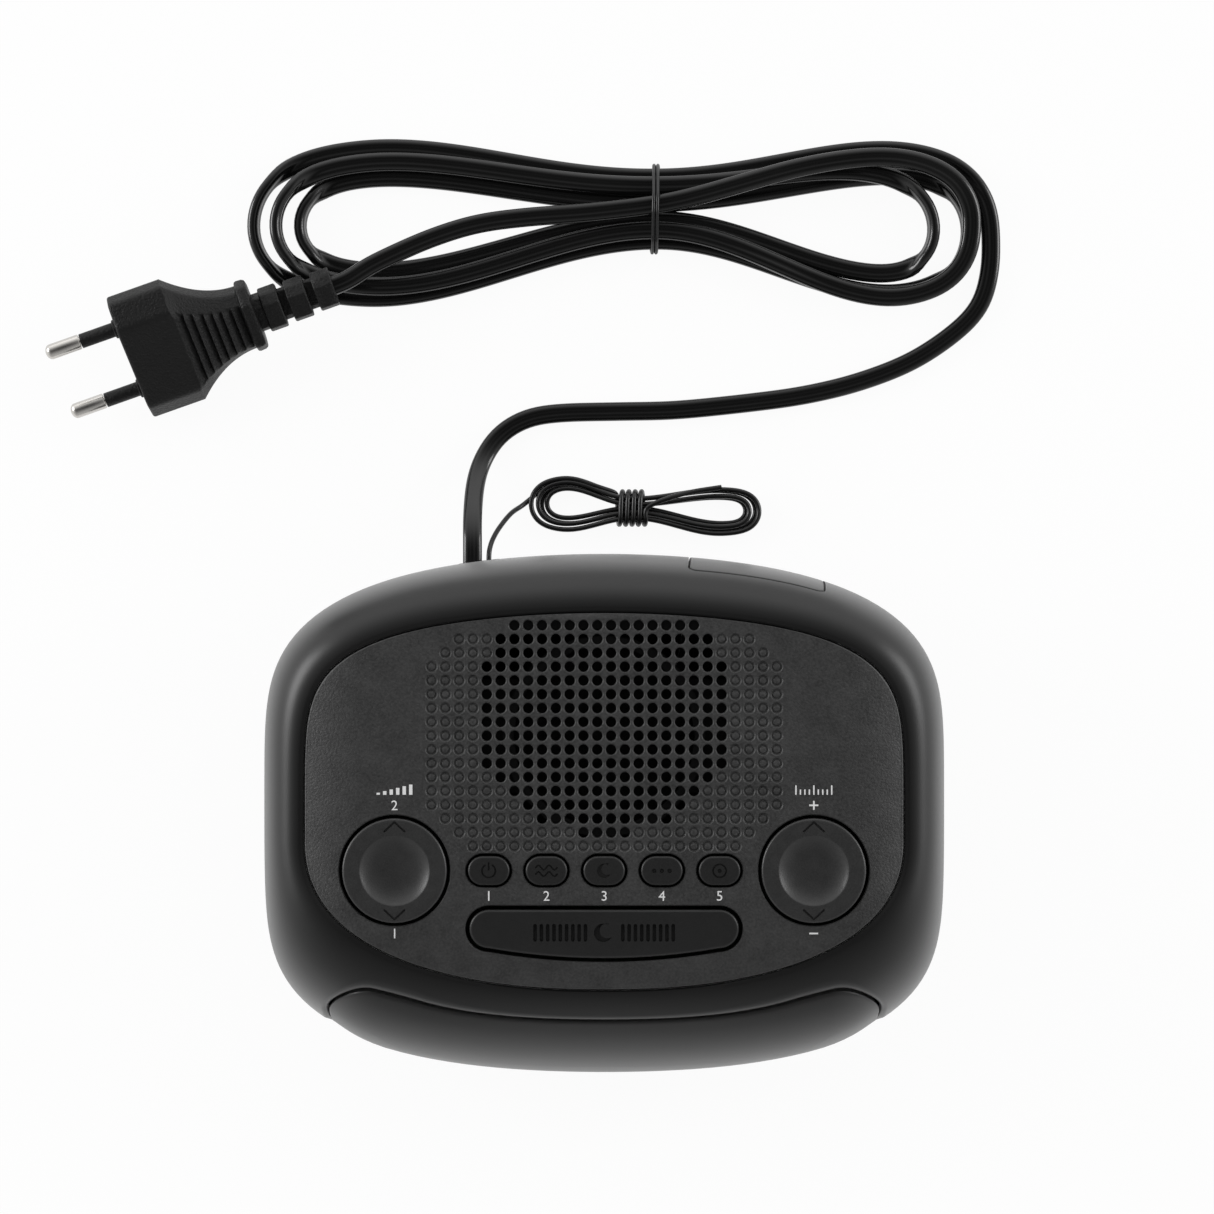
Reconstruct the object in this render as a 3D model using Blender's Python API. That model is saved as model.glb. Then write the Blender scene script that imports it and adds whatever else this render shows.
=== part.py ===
"""Clock radio with a mains lead and a wire aerial, built as an assembly of separate pieces.

Frame: X to the right, Y to the rear, Z up. The origin is on the table, under the middle of the case.
All lengths are in metres; MM turns a size in millimetres into metres.
"""
import math

import bmesh
import bpy
import numpy as np
from mathutils import Matrix, Vector

MM = 0.001

# Fits
GAP = 0.3 * MM                  # between pieces that seat on each other
KEY_GAP = 0.55 * MM             # round the push buttons
ROCKER_GAP = 0.8 * MM           # round the rockers
BAR_GAP = 0.95 * MM             # round the snooze bar
PANEL_GAP = 0.35 * MM           # round the control panel
LENS_GAP = 0.35 * MM            # round the display lens
DOOR_GAP = 0.4 * MM             # round the battery door

# Case
CASE_WIDTH = 172.0 * MM
CASE_DEPTH = 132.4 * MM
CASE_TOP = 62.0 * MM            # flat middle of the control panel above the table
CASE_CORNER = 5.1               # exponent of the rounded outline
CASE_BOW = 0.2                  # how far the front and rear edges bow
WALL = 2.2 * MM
SPLIT_Z = 9.0 * MM              # parting line between housing and base
WIDEST_FRONT = 16.0 * MM        # height of the widest line of the case
WIDEST_SIDE = 25.0 * MM
WIDEST_REAR = 28.0 * MM
TUCK = 3.0 * MM                 # how far the case draws in from there to the parting line
SHOULDER_FRONT_POWER = 1.7      # roundness of the shoulder: low is raked, high is square
SHOULDER_SIDE_POWER = 2.6
SHOULDER_REAR_POWER = 2.3
PLAN_STEPS = 48

# Control panel
SHOULDER_SIDE = 12.1 * MM       # plan distance from the panel's edge to the case's outline
SHOULDER_REAR = 15.0 * MM
SHOULDER_FRONT = 24.45 * MM
PANEL_WIDEST_Y = -4.8 * MM
PANEL_REAR_CORNER = 6.0
PANEL_REAR_BOW = 0.17
PANEL_FRONT_CORNER = 2.3
PANEL_THICK = 2.4 * MM
PANEL_PROUD = 1.0 * MM          # its edge stands this far above the case
PANEL_CHAMFER = 0.5 * MM
LEDGE = 4.0 * MM                # the case's ledge under the panel's edge
LEDGE_THICK = 2.0 * MM
FLAT_MARGIN_SIDE = 15.9 * MM    # the panel falls away over these margins
FLAT_MARGIN_FRONT = 24.75 * MM
FLAT_MARGIN_REAR = 1.8 * MM
FALL_SIDE = 3.0 * MM
FALL_FRONT = 3.5 * MM
FALL_REAR = 0.3 * MM

# Speaker grille: holes that go right through, half the count of each row, from the rear to the front
GRILLE_PITCH = 3.4 * MM
GRILLE_HOLE = 2.45 * MM
GRILLE_REAR_INSET = 3.0 * MM    # first row to the panel's rear edge
GRILLE_HALF_ROWS = (7, 8, 8, 9, 9, 9, 9, 9, 9, 9, 9, 8, 7, 6, 5, 2)
GRILLE_SIDES = 4
GRILLE_STRIDE = 2               # the solid carries every second hole of a row, staggered

# Keys
KEY_ROW_Y = -12.2 * MM
ROCKER_REACH = 64.5 / 73.9      # outer rim of the rocker, as a share of the panel's half width
ROCKER_RADIUS = 12.9 * MM
ROCKER_DISH = 8.5 * MM
ROCKER_DISH_DEPTH = 1.5 * MM
ROCKER_THICK = 4.0 * MM
ROCKER_PROUD = 0.4 * MM
ROCKER_AXIS_DROP = 4.9 * MM     # rocking axis below the panel's face
TRUNNION_RADIUS = 1.2 * MM
TRUNNION_REACH = 3.2 * MM       # past the rim of the rocker
LUG_WIDTH = 5.2 * MM
LUG_THICK = 2.0 * MM
ROCKER_POST_OFFSET = 8.5 * MM   # from the axis to each switch
ROCKER_PLAY = 0.6 * MM          # from post to switch at rest
BUTTON_NAMES = ("power", "band", "sleep", "memory", "set")
BUTTON_SPACE = 3.9 * MM           # between neighbouring buttons
BUTTON_WIDTH = 7.2 * MM
BUTTON_PROUD = 0.5 * MM
BUTTON_PLAY = 0.95 * MM         # from stem to switch at rest
FLANGE_REACH = 1.3 * MM         # keys' retaining flange under the panel
FLANGE_THICK = 1.2 * MM
STEM_RADIUS = 1.6 * MM
BAR_HALF_LENGTH = 33.2 * MM
BAR_END_RADIUS = 4.8 * MM
BAR_BULGE = 2.5 * MM            # bow of its front edge
BAR_REAR_Y = -21.8 * MM
BAR_PLAY = 1.35 * MM
SWITCH_SIZE = 6.0 * MM
SWITCH_BODY = 3.5 * MM
SWITCH_PLUNGER = 1.6 * MM
SWITCH_PLUNGER_RADIUS = 1.6 * MM
BOARD_THICK = 1.6 * MM
KEY_BOARD_DROP = 13.0 * MM      # key board's face below the panel's face
KEY_BOARD_MARGIN = 9.0 * MM     # from the outer rocker posts to the board's edge
POST_RADIUS = 2.2 * MM

# Display
LENS_SIDE_MARGIN = 16.5 * MM    # lens's end to the case's side
LENS_BOTTOM_Z = 13.0 * MM
LENS_TOP_DROP = 9.0 * MM        # below the panel's face
LENS_CORNER = 13.0 * MM
LENS_RECESS = 0.8 * MM
LENS_THICK = 2.0 * MM
DISPLAY_SETBACK = 18.2 * MM     # display module's middle behind the front of the case
DISPLAY_Z = 28.0 * MM
DISPLAY_LEAN = math.radians(21.0)
DISPLAY_SIZE = (90.0 * MM, 8.0 * MM, 26.0 * MM)
DISPLAY_BOARD_SIZE = (104.0 * MM, BOARD_THICK, 30.0 * MM)

# Loudspeaker
SPEAKER_Y = 20.8 * MM
SPEAKER_RADIUS = 25.0 * MM
SPEAKER_FLANGE = 1.5 * MM
SPEAKER_DEPTH = 15.0 * MM       # flange to the magnet
SPEAKER_SHEET = 1.0 * MM
CONE_INSET = 3.2 * MM            # cone's rim inside the basket's
CONE_SHEET = 0.8 * MM
CONE_PLAY = 0.75 * MM           # cone's rim above the basket's step
MAGNET_HEIGHT = 8.0 * MM
CLAMP_THICK = 1.6 * MM
CLAMP_RIM = 1.2 * MM            # clamp's ring outside the basket
CLAMP_POST_CLEAR = 7.8 * MM      # clamp's posts beside the basket

# Power supply and boards
BASE_Z = 2.2 * MM               # underside of the base above the table
MAIN_BOARD_SIZE = (100.0 * MM, 32.0 * MM, BOARD_THICK)
MAIN_BOARD_CENTRE = (14.0 * MM, -22.0 * MM)
MAIN_BOARD_Z = 9.6 * MM
TRANSFORMER_CENTRE = (-56.0 * MM, 20.0 * MM)
CORE_SIZE = (34.0 * MM, 20.0 * MM, 29.0 * MM)
CORE_LIMB = 6.0 * MM
WINDING_LENGTH = 34.0 * MM
TRANSFORMER_Z = 7.0 * MM
ROD_RADIUS = 4.0 * MM
ROD_LENGTH = 70.0 * MM
ROD_HEIGHT = 9.0 * MM           # rod's axis above the main board
COIL_RADIUS = 5.4 * MM
COIL_LENGTH = 18.0 * MM

# Backup battery: bay, door and block battery
DOOR_X = 38.7 * MM
DOOR_TURN = math.radians(-10.7)  # the rear wall's direction there
DOOR_WIDTH = 34.0 * MM
DOOR_BOTTOM_Z = 15.0 * MM
DOOR_TOP_Z = 51.5 * MM
DOOR_SET_Z = 30.0 * MM          # height at which the door's frame meets the wall
DOOR_AXIS_OUT = 0.25 * MM       # hinge line outside the wall
TAB_WIDTH = 6.0 * MM
TAB_SPACING = 18.0 * MM
TAB_THICK = 1.4 * MM
TAB_REACH = 3.2 * MM            # below the door's edge
BATTERY_SIZE = (26.5 * MM, 48.5 * MM, 17.5 * MM)
BAY_PLAY = 0.6 * MM
BAY_WALL = 1.4 * MM
BAY_SETBACK = 9.5 * MM          # bay's mouth behind the wall's outer face
BAY_BOTTOM_Z = 14.0 * MM
SNAP_THICK = 5.0 * MM

# Feet and case screws
FOOT_RADIUS = 6.5 * MM
FOOT_X = 58.0 * MM
FOOT_Y = 42.0 * MM
SCREW_PLAN_ANGLE = math.radians(42.0)
SCREW_INSET = 5.6 * MM          # boss centre inside the case's outline at the parting line
BOSS_RADIUS = 4.3 * MM
BOSS_TOP_Z = 24.0 * MM
SCREW_RADIUS = 1.4 * MM
SCREW_HEAD_RADIUS = 2.8 * MM
SCREW_HEAD = 2.2 * MM
SCREW_WELL_Z = 6.4 * MM         # seat of the head above the table
SCREW_TIP_Z = 20.0 * MM

# Leads: bush in the rear wall
BUSH_X = -32.0 * MM
BUSH_Z = 18.0 * MM
BUSH_WIDTH = 13.0 * MM
BUSH_HEIGHT = 8.0 * MM
BUSH_PROUD = 1.6 * MM
BUSH_DEPTH = 9.0 * MM
LEAD_X = -33.8 * MM
AERIAL_X = -29.6 * MM

# Mains lead: flat two-core cord
CORD_WIDTH = 4.9 * MM
CORD_THICK = 3.0 * MM
CORD_SECTION_POINTS = 8
LEAD_ROUTE = (                  # from the bush to the hank, in millimetres
    (-33.9, 76.0, 14.6), (-33.4, 84.5, 7.6), (-31.6, 91.0, 3.2),
    (-27.4, 97.4, 1.8), (-20.4, 101.7, 1.75), (-11.5, 103.2, 1.75), (4.1, 103.6, 1.75),
    (19.2, 104.0, 1.75), (39.7, 106.1, 1.75), (53.3, 108.1, 1.75), (66.9, 111.5, 1.75),
    (80.6, 117.0, 1.75), (92.4, 125.1, 1.75), (98.2, 132.0, 1.75), (100.4, 140.5, 1.75),
)
HANK_CENTRE = (13.2 * MM, 156.3 * MM)
HANK_Z = 1.75 * MM              # cord's middle on the table
HANK_LAYER = 3.55 * MM          # rise from one layer to the next
HANK_WAIST_LIFT = 1.55 * MM     # room for the tie under the waist
HANK_LOOPS = 3
HANK_SINK_WAIST = 1.6           # how far the loops hang to the front, in millimetres: at the waist
HANK_SINK_LEFT = 2.9            # and, further, in the lobes
HANK_SINK_RIGHT = 4.2
HANK_SPAN_LEFT = 76.0           # from the waist to the widest place of each lobe, in millimetres
HANK_SPAN_RIGHT = 66.0
LOOP_POINTS = 24
TAIL_ROUTE = (                  # from the hank's last loop over its waist to the plug, in millimetres
    (95.0, 157.0, 5.7), (91.6, 162.8, 6.7), (84.6, 167.0, 7.9), (75.0, 169.0, 8.9), (63.8, 168.6, 9.2),
    (50.0, 166.2, 9.4), (36.0, 162.3, 10.1), (24.0, 158.9, 10.5), (13.2, 156.6, 10.6), (-4.0, 154.6, 10.5),
    (-20.0, 153.4, 10.4), (-33.0, 151.6, 10.6), (-44.5, 148.0, 11.2), (-55.0, 143.4, 11.8),
    (-62.5, 139.6, 12.0),
)
TIE_WIRE = 0.9 * MM
TIE_TURNS = 2
TIE_POINTS = 16
TIE_PITCH = 1.5 * MM
TIE_CLEAR = 0.45 * MM

# Plug
PLUG_FACE = (-121.9 * MM, 117.0 * MM, 12.2 * MM)
PLUG_HEADING = math.radians(19.5)
PLUG_ROLL = math.radians(28.0)
PLUG_HALF_WIDTH = 17.65 * MM
PLUG_FLAT_HALF = 12.0 * MM
PLUG_HALF_THICK = 6.85 * MM
PLUG_EDGE_HALF = 2.4 * MM
PLUG_GRIP_START = 12.5 * MM
PLUG_NECK = 31.0 * MM
PLUG_NECK_HALF = 8.6 * MM
PLUG_COLLAR = 3.0 * MM
RELIEF_RIBS = 3
RELIEF_RIB = 4.6 * MM
RELIEF_SLOT = 2.3 * MM
RELIEF_HALF_WIDTH = 5.6 * MM
RELIEF_HALF_THICK = 4.6 * MM
RELIEF_CORE = 0.66              # slot depth, as a share of the rib's size
PIN_SPACING = 18.6 * MM
PIN_LENGTH = 19.0 * MM
PIN_RADIUS = 2.0 * MM
PIN_SHANK = 1.2 * MM
SLEEVE_LENGTH = 10.0 * MM
SLEEVE_RADIUS = 1.9 * MM

# Wire aerial
AERIAL_RADIUS = 0.65 * MM
AERIAL_ROUTE = (                # from the bush to the small hank, in millimetres
    (-28.9, 69.6, 15.6), (-27.2, 73.0, 11.2), (-24.2, 77.0, 5.6), (-21.2, 79.2, 1.9),
)
AERIAL_CENTRE = (7.4 * MM, 78.6 * MM)
AERIAL_LEFT = 25.6 * MM         # reach of its outer loop to each side of the waist
AERIAL_RIGHT = 32.6 * MM
AERIAL_LOBE_LEFT = 6.3 * MM     # half height of its outer loop on each side
AERIAL_LOBE_RIGHT = 5.6 * MM
AERIAL_SPAN_LEFT = 18.5 * MM    # from the waist to the widest place of each lobe
AERIAL_SPAN_RIGHT = 23.5 * MM
AERIAL_TILT = 0.9 * MM          # the left lobe leans to the rear, the right one to the front
AERIAL_STEP = 2.15 * MM
AERIAL_LAYER = 1.9 * MM
AERIAL_LOOPS = 4
AERIAL_START = 0.05             # share of the first loop where the lead comes in
AERIAL_Z = 0.85 * MM
AERIAL_WAIST_LIFT = 2.35 * MM
WRAP_TURNS = 4.5
WRAP_POINTS = 10
WRAP_PITCH = 1.8 * MM
WRAP_CLEAR = 0.45 * MM
WRAP_END = ((9.5, 2.4, 7.0), (15.5, 4.0, 5.7), (23.0, 5.2, 4.8))  # cut end, from the waist, in millimetres

# Sizes that follow from the above
HALF_WIDTH = CASE_WIDTH / 2
HALF_DEPTH = CASE_DEPTH / 2
PANEL_HALF_WIDTH = HALF_WIDTH - SHOULDER_SIDE
PANEL_REAR_Y = HALF_DEPTH - SHOULDER_REAR
PANEL_FRONT_Y = SHOULDER_FRONT - HALF_DEPTH
ROCKER_X = PANEL_HALF_WIDTH * ROCKER_REACH - ROCKER_RADIUS
BUTTON_PITCH = (ROCKER_X - ROCKER_RADIUS - TRUNNION_REACH) / 2.5    # five fill the room between the rockers
BUTTON_LENGTH = BUTTON_PITCH - BUTTON_SPACE
CONE_RADIUS = SPEAKER_RADIUS - CONE_INSET
MAGNET_RADIUS = SPEAKER_RADIUS * 0.56
CLAMP_POST_X = SPEAKER_RADIUS + CLAMP_POST_CLEAR
CLAMP_POST_Y = SPEAKER_RADIUS * 0.44
KEY_BOARD_Z = CASE_TOP - KEY_BOARD_DROP
SWITCH_TOP_Z = KEY_BOARD_Z + SWITCH_BODY + SWITCH_PLUNGER
PANEL_UNDER_Z = CASE_TOP - PANEL_THICK
GRILLE_REAR_Y = PANEL_REAR_Y - GRILLE_REAR_INSET
BASE_FLOOR_Z = BASE_Z + WALL
LENS_TOP_Z = CASE_TOP - LENS_TOP_DROP
LENS_HALF = HALF_WIDTH - LENS_SIDE_MARGIN

for old in list(bpy.data.objects):
    bpy.data.objects.remove(old, do_unlink=True)


def make_collection(name):
    """A new collection in the scene."""
    collection = bpy.data.collections.new(name)
    bpy.context.scene.collection.children.link(collection)
    return collection


PARTS = make_collection("clock_radio")
TOOLS = make_collection("cutters_and_guides")


def make_material(name, colour, roughness, metallic=0.0):
    """A Principled material of one colour."""
    material = bpy.data.materials.new(name)
    material.use_nodes = True
    shader = material.node_tree.nodes["Principled BSDF"]
    shader.inputs["Base Color"].default_value = (*colour, 1.0)
    shader.inputs["Roughness"].default_value = roughness
    shader.inputs["Metallic"].default_value = metallic
    material.diffuse_color = (*colour, 1.0)
    return material


SOFT_BLACK = make_material("soft_black_case", (0.022, 0.022, 0.023), 0.42)
GRAINED_BLACK = make_material("grained_black_panel", (0.03, 0.03, 0.031), 0.55)
SATIN_BLACK = make_material("satin_black_keys", (0.03, 0.03, 0.031), 0.45)
SMOKED = make_material("smoked_lens", (0.02, 0.02, 0.021), 0.2)
RUBBER = make_material("black_rubber", (0.02, 0.02, 0.02), 0.85)
STEEL = make_material("zinc_plated_steel", (0.62, 0.62, 0.6), 0.3, 1.0)
NICKEL = make_material("nickel_plated_brass", (0.75, 0.73, 0.69), 0.22, 1.0)
BOARD = make_material("circuit_board", (0.36, 0.22, 0.08), 0.5)
SWITCH_BLACK = make_material("switch_black", (0.03, 0.03, 0.03), 0.5)
LED_FACE = make_material("display_face", (0.05, 0.04, 0.04), 0.35)
PAPER = make_material("cone_paper", (0.05, 0.05, 0.05), 0.9)
FERRITE = make_material("ferrite", (0.06, 0.06, 0.065), 0.6)
COPPER = make_material("varnished_copper", (0.55, 0.22, 0.07), 0.4, 1.0)
BATTERY_JACKET = make_material("battery_jacket", (0.1, 0.1, 0.11), 0.35)
PVC = make_material("black_pvc", (0.02, 0.02, 0.021), 0.35)


def add_part(name, bm, material, location=None, parent=None):
    """Turn a bmesh into a named part; its mesh is given about the location."""
    bmesh.ops.remove_doubles(bm, verts=bm.verts, dist=1e-6)
    bmesh.ops.recalc_face_normals(bm, faces=bm.faces)
    mesh = bpy.data.meshes.new(name)
    bm.to_mesh(mesh)
    bm.free()
    mesh.shade_smooth()
    mesh.set_sharp_from_angle(angle=math.radians(35))
    obj = bpy.data.objects.new(name, mesh)
    obj.data.materials.append(material)
    obj.parent = parent
    if location is not None:
        obj.location = location
    PARTS.objects.link(obj)
    return obj


def add_tool(name, bm):
    """Turn a bmesh into a hidden cutter or an addition for a Boolean."""
    bmesh.ops.recalc_face_normals(bm, faces=bm.faces)
    mesh = bpy.data.meshes.new(name)
    bm.to_mesh(mesh)
    bm.free()
    tool = bpy.data.objects.new(name, mesh)
    tool.hide_render = True
    tool.display_type = "WIRE"
    TOOLS.objects.link(tool)
    return tool


def add_empty(name, location, turn_z=0.0, lean_x=0.0):
    """An empty that carries pieces with one place and one turn."""
    empty = bpy.data.objects.new(name, None)
    empty.location = location
    empty.rotation_euler = (lean_x, 0.0, turn_z)
    PARTS.objects.link(empty)
    return empty


def boolean(obj, tool, operation):
    """Add an exact Boolean to a part."""
    modifier = obj.modifiers.new(operation.lower() + "_" + tool.name, "BOOLEAN")
    modifier.operation = operation
    modifier.solver = "EXACT"
    modifier.object = tool


def add_box(bm, low, high, matrix=None):
    """A box between two corners."""
    low, high = Vector(low), Vector(high)
    size = high - low
    place = Matrix.Translation((low + high) / 2) @ Matrix.Diagonal((*size, 1.0))
    bmesh.ops.create_cube(bm, size=1.0, matrix=(matrix or Matrix.Identity(4)) @ place)


def add_cylinder(bm, start, end, radius, sides=16, end_radius=None, turn=0.0):
    """A cylinder or a cone frustum between two points."""
    start, end = Vector(start), Vector(end)
    axis = end - start
    place = Matrix.Translation((start + end) / 2) @ axis.to_track_quat("Z", "Y").to_matrix().to_4x4()
    place = place @ Matrix.Rotation(turn, 4, "Z")
    top = radius if end_radius is None else end_radius
    bmesh.ops.create_cone(bm, cap_ends=True, segments=sides, radius1=radius, radius2=top,
                          depth=axis.length, matrix=place)


def add_prism(bm, outline, low, high, matrix=None):
    """A flat outline in XY, extruded from low to high along Z, then placed by a matrix."""
    verts = [bm.verts.new((x, y, low)) for x, y in outline]
    face = bm.faces.new(verts)
    grown = bmesh.ops.extrude_face_region(bm, geom=[face])["geom"]
    moved = [item for item in grown if isinstance(item, bmesh.types.BMVert)]
    bmesh.ops.translate(bm, verts=moved, vec=(0.0, 0.0, high - low))
    if matrix is not None:
        bmesh.ops.transform(bm, matrix=matrix, verts=verts + moved)
    return verts, moved


def add_turned(bm, profile, steps, matrix=None):
    """Turn a closed or axis-to-axis profile of (radius, height) points about Z."""
    verts = [bm.verts.new((r, 0.0, z)) for r, z in profile]
    edges = [bm.edges.new(pair) for pair in zip(verts, verts[1:])]
    if profile[0][0] > 0 and profile[-1][0] > 0:
        edges.append(bm.edges.new((verts[-1], verts[0])))
    before = set(bm.verts) - set(verts)
    bmesh.ops.spin(bm, geom=verts + edges, cent=(0, 0, 0), axis=(0, 0, 1), angle=math.tau,
                   steps=steps, use_merge=True)
    made = [vert for vert in bm.verts if vert not in before]
    bmesh.ops.remove_doubles(bm, verts=made, dist=1e-6)
    made = [vert for vert in bm.verts if vert not in before]
    if matrix is not None:
        bmesh.ops.transform(bm, matrix=matrix, verts=made)


def add_loft(bm, rings, closed=False):
    """Skin rings of equal counts; closed joins the last ring to the first, else both ends are capped."""
    rows = [[bm.verts.new(point) for point in ring] for ring in rings]
    count = len(rows[0])
    pairs = list(zip(rows, rows[1:]))
    if closed:
        pairs.append((rows[-1], rows[0]))
    for lower, upper in pairs:
        for i in range(count):
            j = (i + 1) % count
            bm.faces.new((lower[i], lower[j], upper[j], upper[i]))
    if not closed:
        bm.faces.new(rows[0])
        bm.faces.new(rows[-1])


def stadium(half_length, radius, centre=(0.0, 0.0), bulge=0.0, steps=7):
    """A stadium along X; bulge bows its front edge outwards."""
    points = []
    run = half_length - radius
    for side, start in ((1, -90), (-1, 90)):
        for i in range(steps):
            angle = math.radians(start + 180 * i / (steps - 1))
            points.append((side * run + radius * math.cos(angle), radius * math.sin(angle)))
    if bulge:
        for i in range(1, steps):
            x = -run + 2 * run * i / steps
            points.append((x, -radius - bulge * (1 - (x / run) ** 2)))
    return [(centre[0] + x, centre[1] + y) for x, y in points]


def rounded_box(half_x, low_y, high_y, radius, steps=5):
    """A rectangle with round corners, as an outline."""
    points = []
    corners = ((half_x, low_y, 1, 1, -90), (half_x, high_y, 1, -1, 0),
               (-half_x, high_y, -1, -1, 90), (-half_x, low_y, -1, 1, 180))
    for x, y, sign_x, sign_y, start in corners:
        for i in range(steps):
            angle = math.radians(start + 90 * i / (steps - 1))
            points.append((x - sign_x * radius + radius * math.cos(angle),
                           y + sign_y * radius + radius * math.sin(angle)))
    return points


# Outlines and surface of the case

ANGLES = [math.tau * i / PLAN_STEPS for i in range(PLAN_STEPS)]


def oval(angle, half_width, rear, front, corner_rear, corner_front, bow_rear, bow_front):
    """Point of a rounded outline whose rear and front halves have their own depth, corner and bow."""
    c, s = math.cos(angle), math.sin(angle)
    depth, corner, bow = (rear, corner_rear, bow_rear) if s >= 0 else (front, corner_front, bow_front)
    reach = (abs(c) ** corner + abs(s) ** corner) ** (-1 / corner)
    across = reach * c
    along = reach * s * (1 - bow * across ** 2)
    return Vector((half_width * across, depth * along))


def case_plan(angle):
    """The case's outline, seen from above."""
    return oval(angle, HALF_WIDTH, HALF_DEPTH, HALF_DEPTH, CASE_CORNER, CASE_CORNER, CASE_BOW, CASE_BOW)


def panel_plan(angle, inset=0.0):
    """The control panel's outline, or one inside it."""
    point = oval(angle, PANEL_HALF_WIDTH - inset, PANEL_REAR_Y - PANEL_WIDEST_Y - inset,
                 PANEL_WIDEST_Y - PANEL_FRONT_Y - inset, PANEL_REAR_CORNER, PANEL_FRONT_CORNER,
                 PANEL_REAR_BOW, 0.0)
    return point + Vector((0.0, PANEL_WIDEST_Y))


def panel_z(x, y):
    """Height of the panel's face: flat in the middle, falling away towards the edges."""
    side = max(0.0, abs(x) - (PANEL_HALF_WIDTH - FLAT_MARGIN_SIDE)) / FLAT_MARGIN_SIDE
    front = max(0.0, PANEL_FRONT_Y + FLAT_MARGIN_FRONT - y) / FLAT_MARGIN_FRONT
    rear = max(0.0, y - (PANEL_REAR_Y - FLAT_MARGIN_REAR)) / FLAT_MARGIN_REAR
    return CASE_TOP - FALL_SIDE * side ** 2 - FALL_FRONT * front ** 2 - FALL_REAR * rear ** 2


def by_direction(angle, front, side, rear):
    """Blend a value round the case from its values at the front, sides and rear."""
    s = math.sin(angle)
    return side + (rear - side) * max(0.0, s) ** 2 + (front - side) * max(0.0, -s) ** 2


def case_point(angle, level):
    """Outer surface of the housing: level 0 at the panel, 1 at the widest line, 2 at the parting line."""
    inner = panel_plan(angle, -PANEL_GAP)
    outer = case_plan(angle)
    edge = panel_plan(angle)
    top = panel_z(edge.x, edge.y) - PANEL_PROUD
    widest = by_direction(angle, WIDEST_FRONT, WIDEST_SIDE, WIDEST_REAR)
    if level <= 1:
        power = by_direction(angle, SHOULDER_FRONT_POWER, SHOULDER_SIDE_POWER, SHOULDER_REAR_POWER)
        turn = level * math.pi / 2
        out = math.sin(turn) ** (2 / power)
        down = 1 - max(0.0, math.cos(turn)) ** (2 / power)
        plan = inner.lerp(outer, out)
        return Vector((plan.x, plan.y, top + (widest - top) * down))
    fall = level - 1
    plan = outer * (1 - TUCK * fall ** 2.2 / outer.length)
    return Vector((plan.x, plan.y, widest + (SPLIT_Z - widest) * fall))


def case_inside(angle, level, depth):
    """A point at a depth under the housing's outer surface."""
    step = 0.01
    low, high = max(0.02, level - step), min(2.0, level + step)
    along = case_point(angle + step, level) - case_point(angle - step, level)
    down = case_point(angle, high) - case_point(angle, low)
    normal = down.cross(along).normalized()
    return case_point(angle, level) - normal * depth


def case_ring(level, depth=0.0):
    """A whole ring of the housing's surface, or of one under it."""
    if depth == 0.0:
        return [case_point(angle, level) for angle in ANGLES]
    return [case_inside(angle, level, depth) for angle in ANGLES]


def base_ring(inset, z):
    """A ring of the base: the parting line's outline drawn in."""
    ring = []
    for angle in ANGLES:
        plan = case_plan(angle)
        plan = plan * (1 - (TUCK + inset) / plan.length)
        ring.append(Vector((plan.x, plan.y, z)))
    return ring


def wall_y(x, z, rear=True):
    """The housing's outer surface at a given x and height, found by bisection round the outline."""
    low, high = (math.pi / 2, 0.0) if x >= 0 else (math.pi / 2, math.pi)
    if not rear:
        low, high = -low, -high
    for _ in range(40):
        middle = (low + high) / 2
        level = level_at(middle, z)
        if abs(case_point(middle, level).x) < abs(x):
            low = middle
        else:
            high = middle
    return case_point(low, level_at(low, z)).y


def level_at(angle, z):
    """The level at which the housing's surface has a given height."""
    low, high = 0.0, 2.0
    for _ in range(40):
        middle = (low + high) / 2
        if case_point(angle, middle).z > z:
            low = middle
        else:
            high = middle
    return (low + high) / 2


SHELL_LEVELS = (2.0, 1.6, 1.25, 1.0, 0.84, 0.7, 0.57, 0.44, 0.31, 0.17, 0.0)
INSIDE_LEVELS = (0.3, 0.5, 0.7, 1.0, 1.5, 2.0)


def wall_layer(outside, inside):
    """A closed layer of the case's wall between two depths, as a bmesh."""
    bm = bmesh.new()
    levels = SHELL_LEVELS[:-1]
    rings = [case_ring(level, outside) for level in levels]
    rings += [case_ring(level, inside) for level in reversed(levels)]
    add_loft(bm, rings, closed=True)
    return bm


# Places that several pieces share

BOSS_PLACES = []
for corner in (SCREW_PLAN_ANGLE, math.pi - SCREW_PLAN_ANGLE, math.pi + SCREW_PLAN_ANGLE, -SCREW_PLAN_ANGLE):
    plan = case_plan(corner)
    BOSS_PLACES.append(plan * (1 - (TUCK + SCREW_INSET) / plan.length))
CORNER_NAMES = ("rear_right", "rear_left", "front_left", "front_right")

DISPLAY_PLACE = (0.0, DISPLAY_SETBACK - HALF_DEPTH, DISPLAY_Z)
DISPLAY_FRAME = Matrix.Translation(DISPLAY_PLACE) @ Matrix.Rotation(-DISPLAY_LEAN, 4, "X")
DISPLAY_BOARD_OFFSET = (DISPLAY_SIZE[1] + BOARD_THICK) / 2 + GAP

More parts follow.
